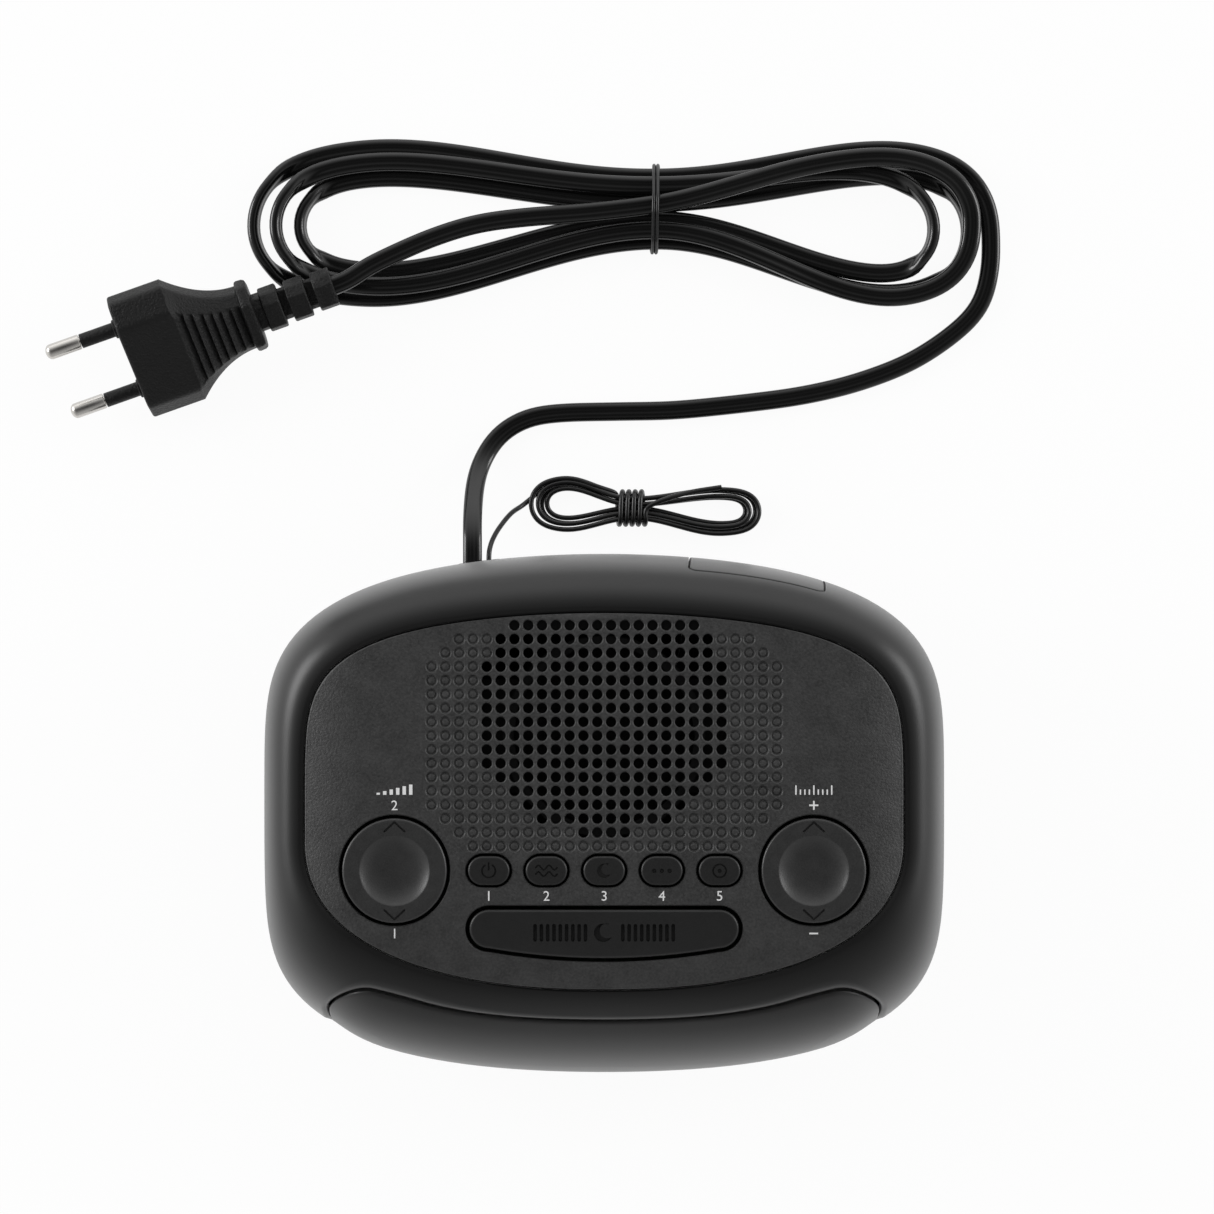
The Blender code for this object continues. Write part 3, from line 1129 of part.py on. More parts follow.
def flat_section():
    """The flat cord's outline across its run: width across, thickness up."""
    points = []
    for i in range(CORD_SECTION_POINTS):
        angle = math.tau * (i + 0.5) / CORD_SECTION_POINTS
        c, s = math.cos(angle), math.sin(angle)
        scale = 1 / max(abs(c) ** 3 + abs(s) ** 3, 1e-9) ** (1 / 3)
        points.append((CORD_WIDTH / 2 * c * scale, CORD_THICK / 2 * s * scale))
    reach_x = max(x for x, _ in points)
    reach_y = max(y for _, y in points)
    return [(x * CORD_WIDTH / 2 / reach_x, y * CORD_THICK / 2 / reach_y) for x, y in points]


def add_lead(name, points, material, radius=None, resolution=2):
    """A lead along a path: a round tube of a radius, or the flat cord where none is given."""
    curve = bpy.data.curves.new(name, "CURVE")
    curve.dimensions = "3D"
    curve.use_fill_caps = True
    curve.twist_mode = "Z_UP"
    if radius is None:
        curve.bevel_mode = "OBJECT"
        curve.bevel_object = cord_guide()
    else:
        curve.bevel_depth = radius
        curve.bevel_resolution = resolution
    spline = curve.splines.new("POLY")
    spline.points.add(len(points) - 1)
    for place, point in zip(spline.points, points):
        place.co = (*point, 1.0)
    obj = bpy.data.objects.new(name, curve)
    curve.materials.append(material)
    PARTS.objects.link(obj)
    return obj


def cord_guide():
    """The flat section as a guide curve, made once."""
    if "cord_section" in bpy.data.objects:
        return bpy.data.objects["cord_section"]
    curve = bpy.data.curves.new("cord_section", "CURVE")
    curve.dimensions = "2D"
    spline = curve.splines.new("POLY")
    section = flat_section()[::-1]
    spline.points.add(len(section) - 1)
    for place, (x, y) in zip(spline.points, section):
        place.co = (x, y, 0.0, 1.0)
    spline.use_cyclic_u = True
    guide = bpy.data.objects.new("cord_section", curve)
    guide.hide_render = True
    guide.display_type = "WIRE"
    TOOLS.objects.link(guide)
    return guide


def knots(turn, pairs):
    """A value that runs smoothly between (turn, value) pairs."""
    for (t0, v0), (t1, v1) in zip(pairs, pairs[1:]):
        if turn <= t1:
            share = min(1.0, max(0.0, (turn - t0) / (t1 - t0)))
            return v0 + (v1 - v0) * share
    return pairs[-1][1]


def hank_point(turn):
    """Mains hank: two loops spiral in on the table, the third climbs and lies on top of them."""
    angle = math.tau * turn
    c, s = math.cos(angle), math.sin(angle)
    reach = knots(turn, ((0.0, 87.4), (0.5, 104.6), (1.0, 81.4), (1.5, 92.6), (2.0, 72.5),
                         (2.5, 98.6), (3.0, 82.2)))
    lobe = knots(turn, ((0.0, 22.0), (1.75, 11.7), (1.98, 11.0), (2.2, 17.4), (2.6, 16.4),
                        (2.8, 18.4), (3.0, 18.2)))
    waist = knots(turn, ((0.0, 11.45), (1.75, 1.35), (2.2, 7.2), (2.75, 4.2), (3.0, 4.2)))
    x = reach * c
    spread = math.sin(min(1.0, abs(x) / (HANK_SPAN_RIGHT if c > 0 else HANK_SPAN_LEFT)) * math.pi / 2) ** 2
    height = (waist + (lobe / 0.86 - waist) * spread) * math.copysign(abs(s) ** 0.72, s)
    sink = HANK_SINK_WAIST + (HANK_SINK_RIGHT if c > 0 else HANK_SINK_LEFT) * spread
    layer = knots(turn, ((0.0, 0.0), (1.84, 0.0), (2.06, 1.0), (3.0, 1.0)))
    lift = math.exp(-(x / 22.0) ** 2)
    z = HANK_Z + HANK_LAYER * layer + HANK_WAIST_LIFT * lift
    return (HANK_CENTRE[0] + x * MM, HANK_CENTRE[1] + (height - sink) * MM, z)


def aerial_point(turn):
    """Aerial hank: two loops spiral in, climb along a run, and two more spiral out above them."""
    angle = math.pi - math.tau * turn
    c, s = math.cos(angle), math.sin(angle)
    inward = knots(turn, ((0.0, 0.0), (2.0, 2.0), (AERIAL_LOOPS, 0.0)))
    reach = (AERIAL_RIGHT if c > 0 else AERIAL_LEFT) - 1.2 * AERIAL_STEP * inward
    lobe = (AERIAL_LOBE_RIGHT if c > 0 else AERIAL_LOBE_LEFT) - AERIAL_STEP * inward
    waist = AERIAL_STEP * (2.02 - inward)
    x = reach * c
    span = AERIAL_SPAN_RIGHT if c > 0 else AERIAL_SPAN_LEFT
    spread = math.sin(min(1.0, abs(x) / span) * math.pi / 2) ** 2
    height = (waist + (lobe / 0.86 - waist) * spread) * math.copysign(abs(s) ** 0.75, s)
    height += AERIAL_TILT * spread * (-1 if c > 0 else 1)
    layer = knots(turn, ((0.0, 0.0), (1.8, 0.0), (2.2, 1.0), (AERIAL_LOOPS, 1.0)))
    lift = math.exp(-(x / (11.0 * MM)) ** 2)
    z = AERIAL_Z + AERIAL_LAYER * layer + AERIAL_WAIST_LIFT * lift
    return (AERIAL_CENTRE[0] + x, AERIAL_CENTRE[1] + height, z)


def section_points(points, outline):
    """Outline points carried along a path, upright, for measuring gaps."""
    p = np.array(points)
    run = np.gradient(p, axis=0)
    run /= np.linalg.norm(run, axis=1)[:, None]
    across = np.cross(run, (0.0, 0.0, 1.0))
    across /= np.linalg.norm(across, axis=1)[:, None]
    up = np.cross(across, run)
    return np.stack([p + across * x + up * y for x, y in outline], axis=1)


def least_gap(points, outline, apart, other=None):
    """Least distance between a tube's turns, or between two tubes, measured on their outlines."""
    mine = section_points(points, outline)
    theirs = mine if other is None else section_points(other, outline)
    steps = np.concatenate(([0.0], np.cumsum(np.linalg.norm(np.diff(points, axis=0), axis=1))))
    best = 1.0
    for i, ring in enumerate(mine):
        far = np.abs(steps - steps[i]) > apart if other is None else np.ones(len(theirs), bool)
        if far.any():
            rest = theirs[far].reshape(-1, 3)
            best = min(best, float(np.linalg.norm(ring[:, None] - rest[None], axis=2).min()))
    return best


def round_section(radius, count=8):
    """Outline of a round wire."""
    angles = [math.tau * i / count for i in range(count)]
    return [(radius * math.cos(angle), radius * math.sin(angle)) for angle in angles]


def hull_loop(points, clear, count):
    """A closed loop round points in a plane, at a distance, as count points from the lowest one."""
    loop = []
    for i in range(count):
        angle = -math.tau * i / count - math.pi / 2
        normal = np.array((math.cos(angle), math.sin(angle)))
        corner = points[np.argmax(points @ normal)]
        loop.append(corner + normal * clear)
    return loop


def waist_sections(paths, outline, x, near):
    """Outline points of every strand close to a plane of constant x, as (y, z)."""
    found = []
    for path in paths:
        rings = section_points(path, outline)
        close = np.abs(np.array(path)[:, 0] - x) < near
        found.append(rings[close].reshape(-1, 3)[:, 1:])
    return np.vstack(found)


def wound_loop(loop, turns, pitch, x_start):
    """A tube path that follows a loop in the YZ plane and steps along X."""
    count = len(loop)
    points = []
    for i in range(int(turns * count) + 1):
        y, z = loop[i % count]
        points.append((x_start + pitch * i / count, y, z))
    return points


def trim(points, start, end):
    """Shorten a path at its ends by small gaps."""
    p = np.array(points, dtype=float)
    first = (p[1] - p[0]) / np.linalg.norm(p[1] - p[0])
    last = (p[-2] - p[-1]) / np.linalg.norm(p[-2] - p[-1])
    p[0] += first * start
    p[-1] += last * end
    return p


def straight_on(end, inner, distance):
    """A point straight on from the end of a path, past its inner neighbour."""
    run = np.array(end) - np.array(inner)
    return np.array(end) + run / np.linalg.norm(run) * distance


def in_metres(route):
    """Route points given in millimetres, in metres."""
    return [np.array(point) * MM for point in route]


def build_mains_lead():
    """Lead from the bush to the hank, the hank, the tail to the plug, and the wire tie round the waist."""
    hank = np.array([hank_point(i / LOOP_POINTS) for i in range(HANK_LOOPS * LOOP_POINTS + 1)])
    start = (LEAD_X, BUSH_FACE_Y + GAP, BUSH_Z)
    out = (LEAD_X, BUSH_FACE_Y + CORD_WIDTH, BUSH_Z)
    route = [out] + in_metres(LEAD_ROUTE) + [straight_on(hank[0], hank[1], CORD_WIDTH)]
    lead = np.vstack((start, smooth_path(route, 30), hank[0]))
    plug_end = plug_matrix() @ Vector((PLUG_LENGTH, 0.0, 0.0))
    plug_out = plug_matrix() @ Vector((PLUG_LENGTH + CORD_WIDTH, 0.0, 0.0))
    route = [straight_on(hank[-1], hank[-2], CORD_WIDTH)] + in_metres(TAIL_ROUTE) + [plug_out]
    tail = np.vstack((hank[-1], smooth_path(route, 27), plug_end))
    section = flat_section()
    wound, run_in, run_out = even_points(hank, 480), even_points(lead, 200), even_points(tail, 220)
    print("mains hank least gap to itself, mm:", round(least_gap(wound, section, 40 * MM) / MM, 2))
    print("tail to hank, mm:", round(least_gap(run_out[12:], section, 0, wound[:-12]) / MM, 2))
    print("lead to hank, mm:", round(least_gap(run_in[:-10], section, 0, wound[8:]) / MM, 2))
    print("mains lead length, mm:", round((path_length(lead) + path_length(hank) + path_length(tail)) / MM))
    add_lead("mains_lead", trim(lead, 0.0, 1.5 * GAP), PVC)
    add_lead("mains_hank", hank, PVC)
    add_lead("mains_tail", trim(tail, 1.5 * GAP, 1.5 * GAP), PVC)
    corners = waist_sections([even_points(hank, 900), even_points(tail, 500)], section, HANK_CENTRE[0],
                             3 * MM)
    loop = hull_loop(corners, TIE_CLEAR + TIE_WIRE / 2, TIE_POINTS)
    tie = wound_loop(loop, TIE_TURNS, TIE_PITCH, HANK_CENTRE[0] - TIE_PITCH * TIE_TURNS / 2)
    print("tie lowest point, mm:", round((min(p[2] for p in tie) - TIE_WIRE / 2) / MM, 2))
    add_lead("cord_tie", tie, STEEL, TIE_WIRE / 2, 1)


def build_aerial():
    """Aerial wire from the bush, its small hank, and the end wrapped round the hank's waist."""
    turns = np.linspace(AERIAL_START, AERIAL_LOOPS, AERIAL_LOOPS * LOOP_POINTS + 1)
    hank = np.array([aerial_point(turn) for turn in turns])
    start = (AERIAL_X, BUSH_FACE_Y + GAP, BUSH_Z)
    out = (AERIAL_X, BUSH_FACE_Y + 2 * AERIAL_RADIUS, BUSH_Z)
    route = [out] + in_metres(AERIAL_ROUTE) + [straight_on(hank[0], hank[1], 2 * AERIAL_RADIUS)]
    lead = np.vstack((start, smooth_path(route, 18), hank[0]))
    section = round_section(AERIAL_RADIUS)
    dense = even_points(hank, 600)
    print("aerial hank least gap to itself, mm:", round(least_gap(dense, section, 8 * MM) / MM, 2))
    corners = waist_sections([dense], section, AERIAL_CENTRE[0], 6 * MM)
    loop = hull_loop(corners, WRAP_CLEAR + AERIAL_RADIUS, WRAP_POINTS)
    wrap = wound_loop(loop, WRAP_TURNS, WRAP_PITCH, AERIAL_CENTRE[0] - WRAP_PITCH * WRAP_TURNS / 2)
    end = [tuple(a + b * MM for a, b in zip((*AERIAL_CENTRE, 0.0), point)) for point in WRAP_END]
    wrap += [tuple(point) for point in smooth_path([wrap[-2], wrap[-1]] + end, 16)[3:]]
    print("aerial wrap lowest point, mm:", round((min(p[2] for p in wrap) - AERIAL_RADIUS) / MM, 2))
    total = path_length(lead) + path_length(hank) + path_length(np.array(wrap))
    print("aerial length, mm:", round(total / MM))
    add_lead("aerial_wire", trim(lead, 0.0, GAP), PVC, AERIAL_RADIUS, 2)
    add_lead("aerial_hank", hank, PVC, AERIAL_RADIUS, 1)
    add_lead("aerial_wrap", wrap, PVC, AERIAL_RADIUS, 1)


def build_bush():
    """Bush in the rear wall where both leads come out."""
    bm = bmesh.new()
    half = BUSH_WIDTH / 2
    low = BUSH_Z - BUSH_HEIGHT / 2
    outline = rounded_box(half, low, low + BUSH_HEIGHT, 1.5 * MM, 3)
    stand = Matrix.Translation((BUSH_X, 0, 0)) @ Matrix.Rotation(math.pi / 2, 4, "X")
    add_prism(bm, outline, -BUSH_FACE_Y, -(BUSH_FACE_Y - BUSH_DEPTH), stand)
    add_part("lead_bush", bm, RUBBER)


# Plug

PLUG_LENGTH = PLUG_NECK + PLUG_COLLAR + RELIEF_RIBS * RELIEF_RIB + (RELIEF_RIBS - 1) * RELIEF_SLOT + 2.2 * MM


def plug_matrix():
    """The plug's frame: X from its face towards the cord, Y across the pins, rolled about X."""
    turn = Matrix.Rotation(PLUG_HEADING, 4, "Z") @ Matrix.Rotation(PLUG_ROLL, 4, "X")
    return Matrix.Translation(PLUG_FACE) @ turn


def plug_section(u, half_width, half_thick, shrink=0.0):
    """An eight-sided section of the plug at a distance from its face."""
    share = half_width / PLUG_HALF_WIDTH
    flat = half_width - (PLUG_HALF_WIDTH - PLUG_FLAT_HALF) * min(1.0, share * 1.15)
    edge = PLUG_EDGE_HALF * half_thick / PLUG_HALF_THICK
    w, t = half_width - shrink, half_thick - shrink
    ring = ((w, edge), (flat, t), (-flat, t), (-w, edge), (-w, -edge), (-flat, -t), (flat, -t), (w, -edge))
    return [Vector((u, y, z)) for y, z in ring]


def relief_section(u, scale):
    """An eight-sided section of the strain relief."""
    w, t = RELIEF_HALF_WIDTH * scale, RELIEF_HALF_THICK * scale
    ring = ((w, t * 0.45), (w * 0.6, t), (-w * 0.6, t), (-w, t * 0.45),
            (-w, -t * 0.45), (-w * 0.6, -t), (w * 0.6, -t), (w, -t * 0.45))
    return [Vector((u, y, z)) for y, z in ring]


def build_plug():
    """Moulded two-pin plug: waisted grip, collar and slotted strain relief; pins in half sleeves."""
    rings = [plug_section(0.0, PLUG_HALF_WIDTH, PLUG_HALF_THICK, 0.7 * MM),
             plug_section(0.7 * MM, PLUG_HALF_WIDTH, PLUG_HALF_THICK),
             plug_section(PLUG_GRIP_START, PLUG_HALF_WIDTH, PLUG_HALF_THICK)]
    for i in range(1, 8):
        share = i / 7
        u = PLUG_GRIP_START + (PLUG_NECK - PLUG_GRIP_START) * share
        width = PLUG_NECK_HALF + (PLUG_HALF_WIDTH - PLUG_NECK_HALF) * (1 - share) ** 2
        rings.append(plug_section(u, width, PLUG_HALF_THICK - 0.9 * MM * share))
    collar = PLUG_NECK + PLUG_COLLAR
    for u, width, thick in ((PLUG_NECK + 0.1 * MM, 9.6 * MM, 6.6 * MM), (collar, 9.4 * MM, 6.4 * MM)):
        rings.append(plug_section(u, width, thick))
    u = collar + 0.1 * MM
    for rib in range(RELIEF_RIBS):
        taper = 1.0 - 0.06 * rib
        core = RELIEF_CORE * taper
        length = RELIEF_SLOT if rib else 2.0 * MM
        rings.append(relief_section(u, core))
        rings.append(relief_section(u + length, core))
        rings.append(relief_section(u + length + 0.1 * MM, taper))
        rings.append(relief_section(u + length + RELIEF_RIB, taper))
        u += length + RELIEF_RIB + (0.1 * MM if rib < RELIEF_RIBS - 1 else 0.0)
    bm = bmesh.new()
    add_loft(bm, rings)
    bmesh.ops.transform(bm, matrix=plug_matrix(), verts=bm.verts)
    add_part("plug_body", bm, PVC)

    for name, side in (("upper", 1), ("lower", -1)):
        base = plug_matrix() @ Matrix.Translation((0, side * PIN_SPACING / 2, 0))
        base = base @ Matrix.Rotation(-math.pi / 2, 4, "Y")
        bm = bmesh.new()
        tip = PIN_LENGTH
        profile = [(0, tip), (PIN_RADIUS * 0.55, tip - 0.2 * MM), (PIN_RADIUS, tip - 1.4 * MM),
                   (PIN_RADIUS, SLEEVE_LENGTH + GAP),
                   (PIN_SHANK, SLEEVE_LENGTH + GAP), (PIN_SHANK, GAP), (0, GAP)]
        add_turned(bm, profile, 12, base)
        add_part("plug_pin_" + name, bm, NICKEL)
        bm = bmesh.new()
        profile = [(SLEEVE_RADIUS, SLEEVE_LENGTH), (SLEEVE_RADIUS, GAP), (PIN_SHANK + GAP, GAP),
                   (PIN_SHANK + GAP, SLEEVE_LENGTH)]
        add_turned(bm, profile, 12, base)
        add_part("plug_sleeve_" + name, bm, PVC)


build_housing()
build_base()
build_feet_and_screws()
build_panel()
build_buttons()
build_snooze_bar()
build_rockers()
build_key_board()
build_display()
build_speaker()
build_main_board()
build_transformer()
build_battery()
build_bush()
build_mains_lead()
build_aerial()
build_plug()
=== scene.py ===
"""Clock radio with its leads, seen from straight above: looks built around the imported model."""

import math
from contextlib import contextmanager

import bmesh
import bpy
import numpy as np
from mathutils import Matrix, Vector


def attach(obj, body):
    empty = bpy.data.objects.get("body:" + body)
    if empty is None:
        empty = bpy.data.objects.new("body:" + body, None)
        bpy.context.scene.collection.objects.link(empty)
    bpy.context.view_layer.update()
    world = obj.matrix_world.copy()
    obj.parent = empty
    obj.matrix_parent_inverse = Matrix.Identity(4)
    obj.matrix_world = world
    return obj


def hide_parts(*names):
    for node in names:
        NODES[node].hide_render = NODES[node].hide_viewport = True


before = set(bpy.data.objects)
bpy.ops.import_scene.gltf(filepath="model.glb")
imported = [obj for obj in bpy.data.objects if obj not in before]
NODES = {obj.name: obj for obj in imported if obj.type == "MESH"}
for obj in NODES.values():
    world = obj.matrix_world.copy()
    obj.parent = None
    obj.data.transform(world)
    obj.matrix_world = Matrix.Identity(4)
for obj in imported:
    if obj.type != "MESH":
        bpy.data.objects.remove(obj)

MM = 0.001
QUARTER = math.pi / 2
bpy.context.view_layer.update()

# Sizes of the case, in millimetres
HALF_WIDTH, HALF_DEPTH, TOP = 86.0, 66.2, 62.0
CASE_CORNER, CASE_BOW = 5.1, 0.2
WALL, PARTING_Z, TUCK = 2.2, 9.0, 3.0
WIDEST = (16.0, 25.0, 28.0)             # height of the widest line at the front, sides and rear
SHOULDER_POWER = (1.7, 2.6, 2.3)
PANEL_HALF, PANEL_REAR, PANEL_FRONT, PANEL_WIDEST = 73.9, 51.2, -41.75, -4.8
PANEL_CORNERS, PANEL_BOW = (6.0, 2.3), 0.17
PANEL_THICK, PANEL_PROUD, PANEL_GAP = 2.4, 1.0, 0.35
FLAT_MARGIN = (15.9, 24.75, 1.8)        # side, front, rear
FALL = (3.0, 3.5, 0.3)
LEDGE, LEDGE_THICK, SEAT = 4.0, 2.0, 0.3
BASE_Z = 2.2
BOSS_PLACES, FOOT_PLACES = ([(side * x, end * y, 0.0) for side in (-1, 1) for end in (-1, 1)]
                            for x, y in ((71.1, 41.1), (58.0, 42.0)))

# Grille: rows from the rear, counted each way from the middle
GRILLE_PITCH, GRILLE_REAR = 3.4, 48.2
GRILLE_ALL = (7, 11, 12) + (13,) * 11 + (12, 11, 10)
GRILLE_THROUGH = (7, 8, 8) + (9,) * 8 + (8, 7, 6, 5, 2, 0)
# Profiles of radius and height: a hole's eased edge, and the ring and dome of a blind dimple
HOLE_EDGE = ((0, 1.0), (1.62, 1.0), (1.62, 0.06), (1.56, 0.0), (1.46, -0.08), (1.34, -0.22))
HOLE = (*HOLE_EDGE, (1.25, -0.5), (1.25, -4.0), (0, -4.0))
DIMPLE = (*HOLE_EDGE, (1.2, -0.4), (1.05, -0.44), (0.9, -0.33), (0.75, -0.18), (0.45, -0.1), (0, -0.08))

# Keys
KEY_Y, BUTTON_PITCH = -12.2, 14.2
BUTTON_HALF, BUTTON_RADIUS, KEY_PROUD = 5.15, 3.6, 0.5
BUTTONS = ("power", "band", "sleep", "memory", "set")
BUTTON_GAP, ROCKER_GAP, BAR_GAP = 0.55, 0.8, 0.95
ROCKER_X, ROCKER_RADIUS, ROCKER_TOP = 51.6, 12.9, 62.4
ROCKER_FILLET, ROCKER_SIDE, DISH_RADIUS, DISH_DEPTH, DISH_POWER = 0.6, 4.0, 8.6, 1.65, 3.6
CHEVRON_TIP, CHEVRON_END, CHEVRON_WIDTH, CHEVRON_DEPTH = (0.02, 11.95), (2.45, 9.7), 0.52, 0.5
BAR_Y, BAR_HALF, BAR_RADIUS, BAR_BULGE = -26.6, 33.2, 4.8, 2.5
BAR_SIGN_Y, GROOVE_FIRST, GROOVE_PITCH, GROOVE_DEPTH, GROOVES = BAR_Y - 0.9, 4.6, 1.55, 1.0, 9
NUMBER_HEIGHT, SIGN_REAR, SIGN_SCALE, SIGN_FRONT, INK_LIFT = 2.4, 3.9, 6.5, -27.7, 0.03

# Lens, door and bush
LENS_HALF, LENS_LOW, LENS_HIGH, LENS_CORNER, LENS_RISE = 69.5, 13.0, 53.0, 13.0, 2.8
LENS_GAP, LENS_RECESS, LENS_CROWN, LENS_BACK, LENS_LIP = 0.45, 0.45, 1.2, 2.8, 1.3
LENS_FILLET = 0.6
DOOR_X, DOOR_TURN, DOOR_HALF, DOOR_LOW, DOOR_HIGH, DOOR_GAP, DOOR_SET = 38.7, -10.7, 17.0, 15.0, 51.5, 0.4, 30.0
DOOR_FILLET = 0.3
BUSH_X, BUSH_Z, BUSH_FACE, BUSH_HALF, BUSH_RISE, BUSH_GAP = -32.0, 18.0, 65.217, 6.5, 4.0, 0.3
DISPLAY_PLACE, DISPLAY_LEAN = (0.0, -48.0, 28.0), 21.0
DIGITS, FIGURE_LEAN, FIGURE_LOW, FIGURE_HIGH = (-31.0, -14.0, 14.0, 31.0), 6.0, 4.02, 4.32

# Leads
CORD_WIDTH, CORD_THICK, CORD_DIAMETER, CORD_STEP = 4.9, 3.0, 4.0, 1.5
AERIAL_RADIUS, AERIAL_DIAMETER, AERIAL_STEP = 0.65, 1.3, 0.6
LEAD_START, AERIAL_START = (-33.8, 63.0, 18.0), (-29.6, 63.0, 18.0)
LEAD_ROUTE = (
    (-33.8, 70.117, 18.0), (-33.9, 76.0, 14.6), (-33.4, 84.5, 7.6), (-31.6, 91.0, 3.2),
    (-27.4, 97.4, 1.8), (-20.4, 101.7, 1.75), (-11.5, 103.2, 1.75), (4.1, 103.6, 1.75),
    (19.2, 104.0, 1.75), (39.7, 106.1, 1.75), (53.3, 108.1, 1.75), (66.9, 111.5, 1.75),
    (80.6, 117.0, 1.75), (92.4, 125.1, 1.75), (98.2, 132.0, 1.75), (100.4, 140.5, 1.75),
)
TAIL_ROUTE = (
    (95.0, 157.0, 5.7), (91.6, 162.8, 6.7), (84.6, 167.0, 7.9), (75.0, 169.0, 8.9), (63.8, 168.6, 9.2),
    (50.0, 166.2, 9.4), (36.0, 162.3, 10.1), (24.0, 158.9, 10.5), (13.2, 156.6, 10.6), (-4.0, 154.6, 10.5),
    (-20.0, 153.4, 10.4), (-33.0, 151.6, 10.6), (-44.5, 148.0, 11.2), (-55.0, 143.4, 11.8),
    (-62.5, 139.6, 12.0),
)
AERIAL_ROUTE = ((-29.6, 66.8, 18.0), (-28.9, 69.6, 15.6), (-27.2, 73.0, 11.2), (-24.2, 77.0, 5.6), (-21.2, 79.2, 1.9))
AERIAL_END = ((9.5, 2.4, 7.0), (15.5, 4.0, 5.7), (23.0, 5.2, 4.8))
HANK_CENTRE, AERIAL_CENTRE = (13.2, 156.3), (7.4, 78.6)
FOLD_BLUNTNESS = 1.8                    # twice the radius of a hank's fold, in half heights of its lobe
FLAT_ENDS, TURNING_RUN = 20.0, 30.0     # the mains cord lies flat at its hank's ends and then turns on edge
EDGE_ROLL, EDGE_LIFT, BEND_START, BEND_RUN, CORD_IN_PLUG = 78.0, 1.1, 0.3, 0.5, 4.0
TIE_RADIUS, TIE_CLEAR, TIE_FIRST, TIE_PITCH, TIE_POINTS, TIE_NEAR, TIE_STEP = 0.45, 0.9, -1.0, 1.0, 32, 3.0, 0.8
WRAP_FIRST, WRAP_CLEAR, WRAP_PITCH, WRAP_POINTS, WRAP_NEAR, WRAP_STEPS = -3.9, 0.8, 1.65, 20, 4.5, (-3, 91)

# Plug, along its own axis from the face with the pins
PLUG_FACE, PLUG_HEADING, PLUG_ROLL, PLUG_LENGTH, PLUG_DRAWN = (-122.3, 116.9, 12.45), 19.5, 33.5, 55.8, 54.8
PLUG_WIDE, PLUG_THICK, PLUG_BEVEL, PLUG_EDGE, PLUG_NOSE = 17.65, 6.85, 5.65, 2.4, 0.7
GRIP_START, GRIP_END, GRIP_NARROW, GRIP_THINNER = 14.0, 31.0, 8.6, 0.9
RIB_START, RIB_PITCH, RIB_DEPTH = 14.5, 2.35, 1.1
COLLAR = ((31.1, 9.1, 6.1), (31.3, 9.5, 6.5), (31.8, 9.7, 6.65), (33.2, 9.6, 6.55), (33.8, 9.3, 6.3), (34.0, 8.9, 5.9))
RELIEF_START, RELIEF_WIDE, RELIEF_THICK, RELIEF_TAPER = 34.1, 5.6, 4.6, 0.06
PIN_SIDE, PIN_RADIUS, PIN_STRAIGHT, PIN_TIP = 9.3, 2.0, 18.0, 1.5
SLEEVE = ((1.9, 9.9), (1.8, 10.0), (1.5, 10.0), (1.5, 0.3), (2.5, 0.3), (2.5, 0.8), (2.3, 1.0), (1.9, 1.1))

# Stage, in metres, and the camera's field in pixels
SENSOR, FOCAL_PIXELS, PICTURE_PIXELS, CAMERA_PLACE = 36.0, 4218, 1214, (0.0007, 0.0527, 1.1)
LIGHT_AIM, SOFTBOX_SIZE, SOFTBOX_REAR, SOFTBOX_HEIGHT = (0.0, 0.05, 0.03), 0.6, 0.35, 0.42
SOFTBOXES = (("left_softbox", -1.2, 9.0), ("right_softbox", 1.2, 6.0))      # name, side, power
FLOOR_HALF, FLOOR_GLOW = 4, 0.945


# Node trees

class Wire:
    """A socket of a node tree; sums written on it add Math nodes."""

    def __init__(self, tree, socket):
        self.tree, self.socket = tree, socket

    def of(self, output):
        """Another output of the same node."""
        return Wire(self.tree, self.socket.node.outputs[output])

    def sum(self, operation, *values):
        return self.tree.node("ShaderNodeMath", dict(enumerate(values)), operation=operation)

    def __add__(self, other):
        return self.sum("ADD", self, other)

    def __sub__(self, other):
        return self.sum("SUBTRACT", self, other)

    def __rsub__(self, other):
        return self.sum("SUBTRACT", other, self)

    def __mul__(self, other):
        return self.sum("MULTIPLY", self, other)

    def __pow__(self, other):
        return self.sum("POWER", self, other)

    def most(self, other):
        return self.sum("MAXIMUM", self, other)

    def wave(self, length):
        """A sine of a length in millimetres, from 0 to 1."""
        return self.sum("SINE", self * (math.tau / (length * MM))) * 0.5 + 0.5


class Tree:
    """A node tree that is filled by calls."""

    def __init__(self, tree):
        self.tree = tree

    def node(self, kind, sockets=None, output=0, **settings):
        """A new node with its settings and the values or links of its sockets; gives one of its outputs."""
        made = self.tree.nodes.new(kind)
        for key, value in settings.items():
            setattr(made, key, value)
        for key, value in (sockets or {}).items():
            self.feed(made.inputs[key], value)
        return Wire(self, made.outputs[output]) if made.outputs else None

    def feed(self, socket, value):
        if isinstance(value, Wire):
            self.tree.links.new(value.socket, socket)
        else:
            socket.default_value = value


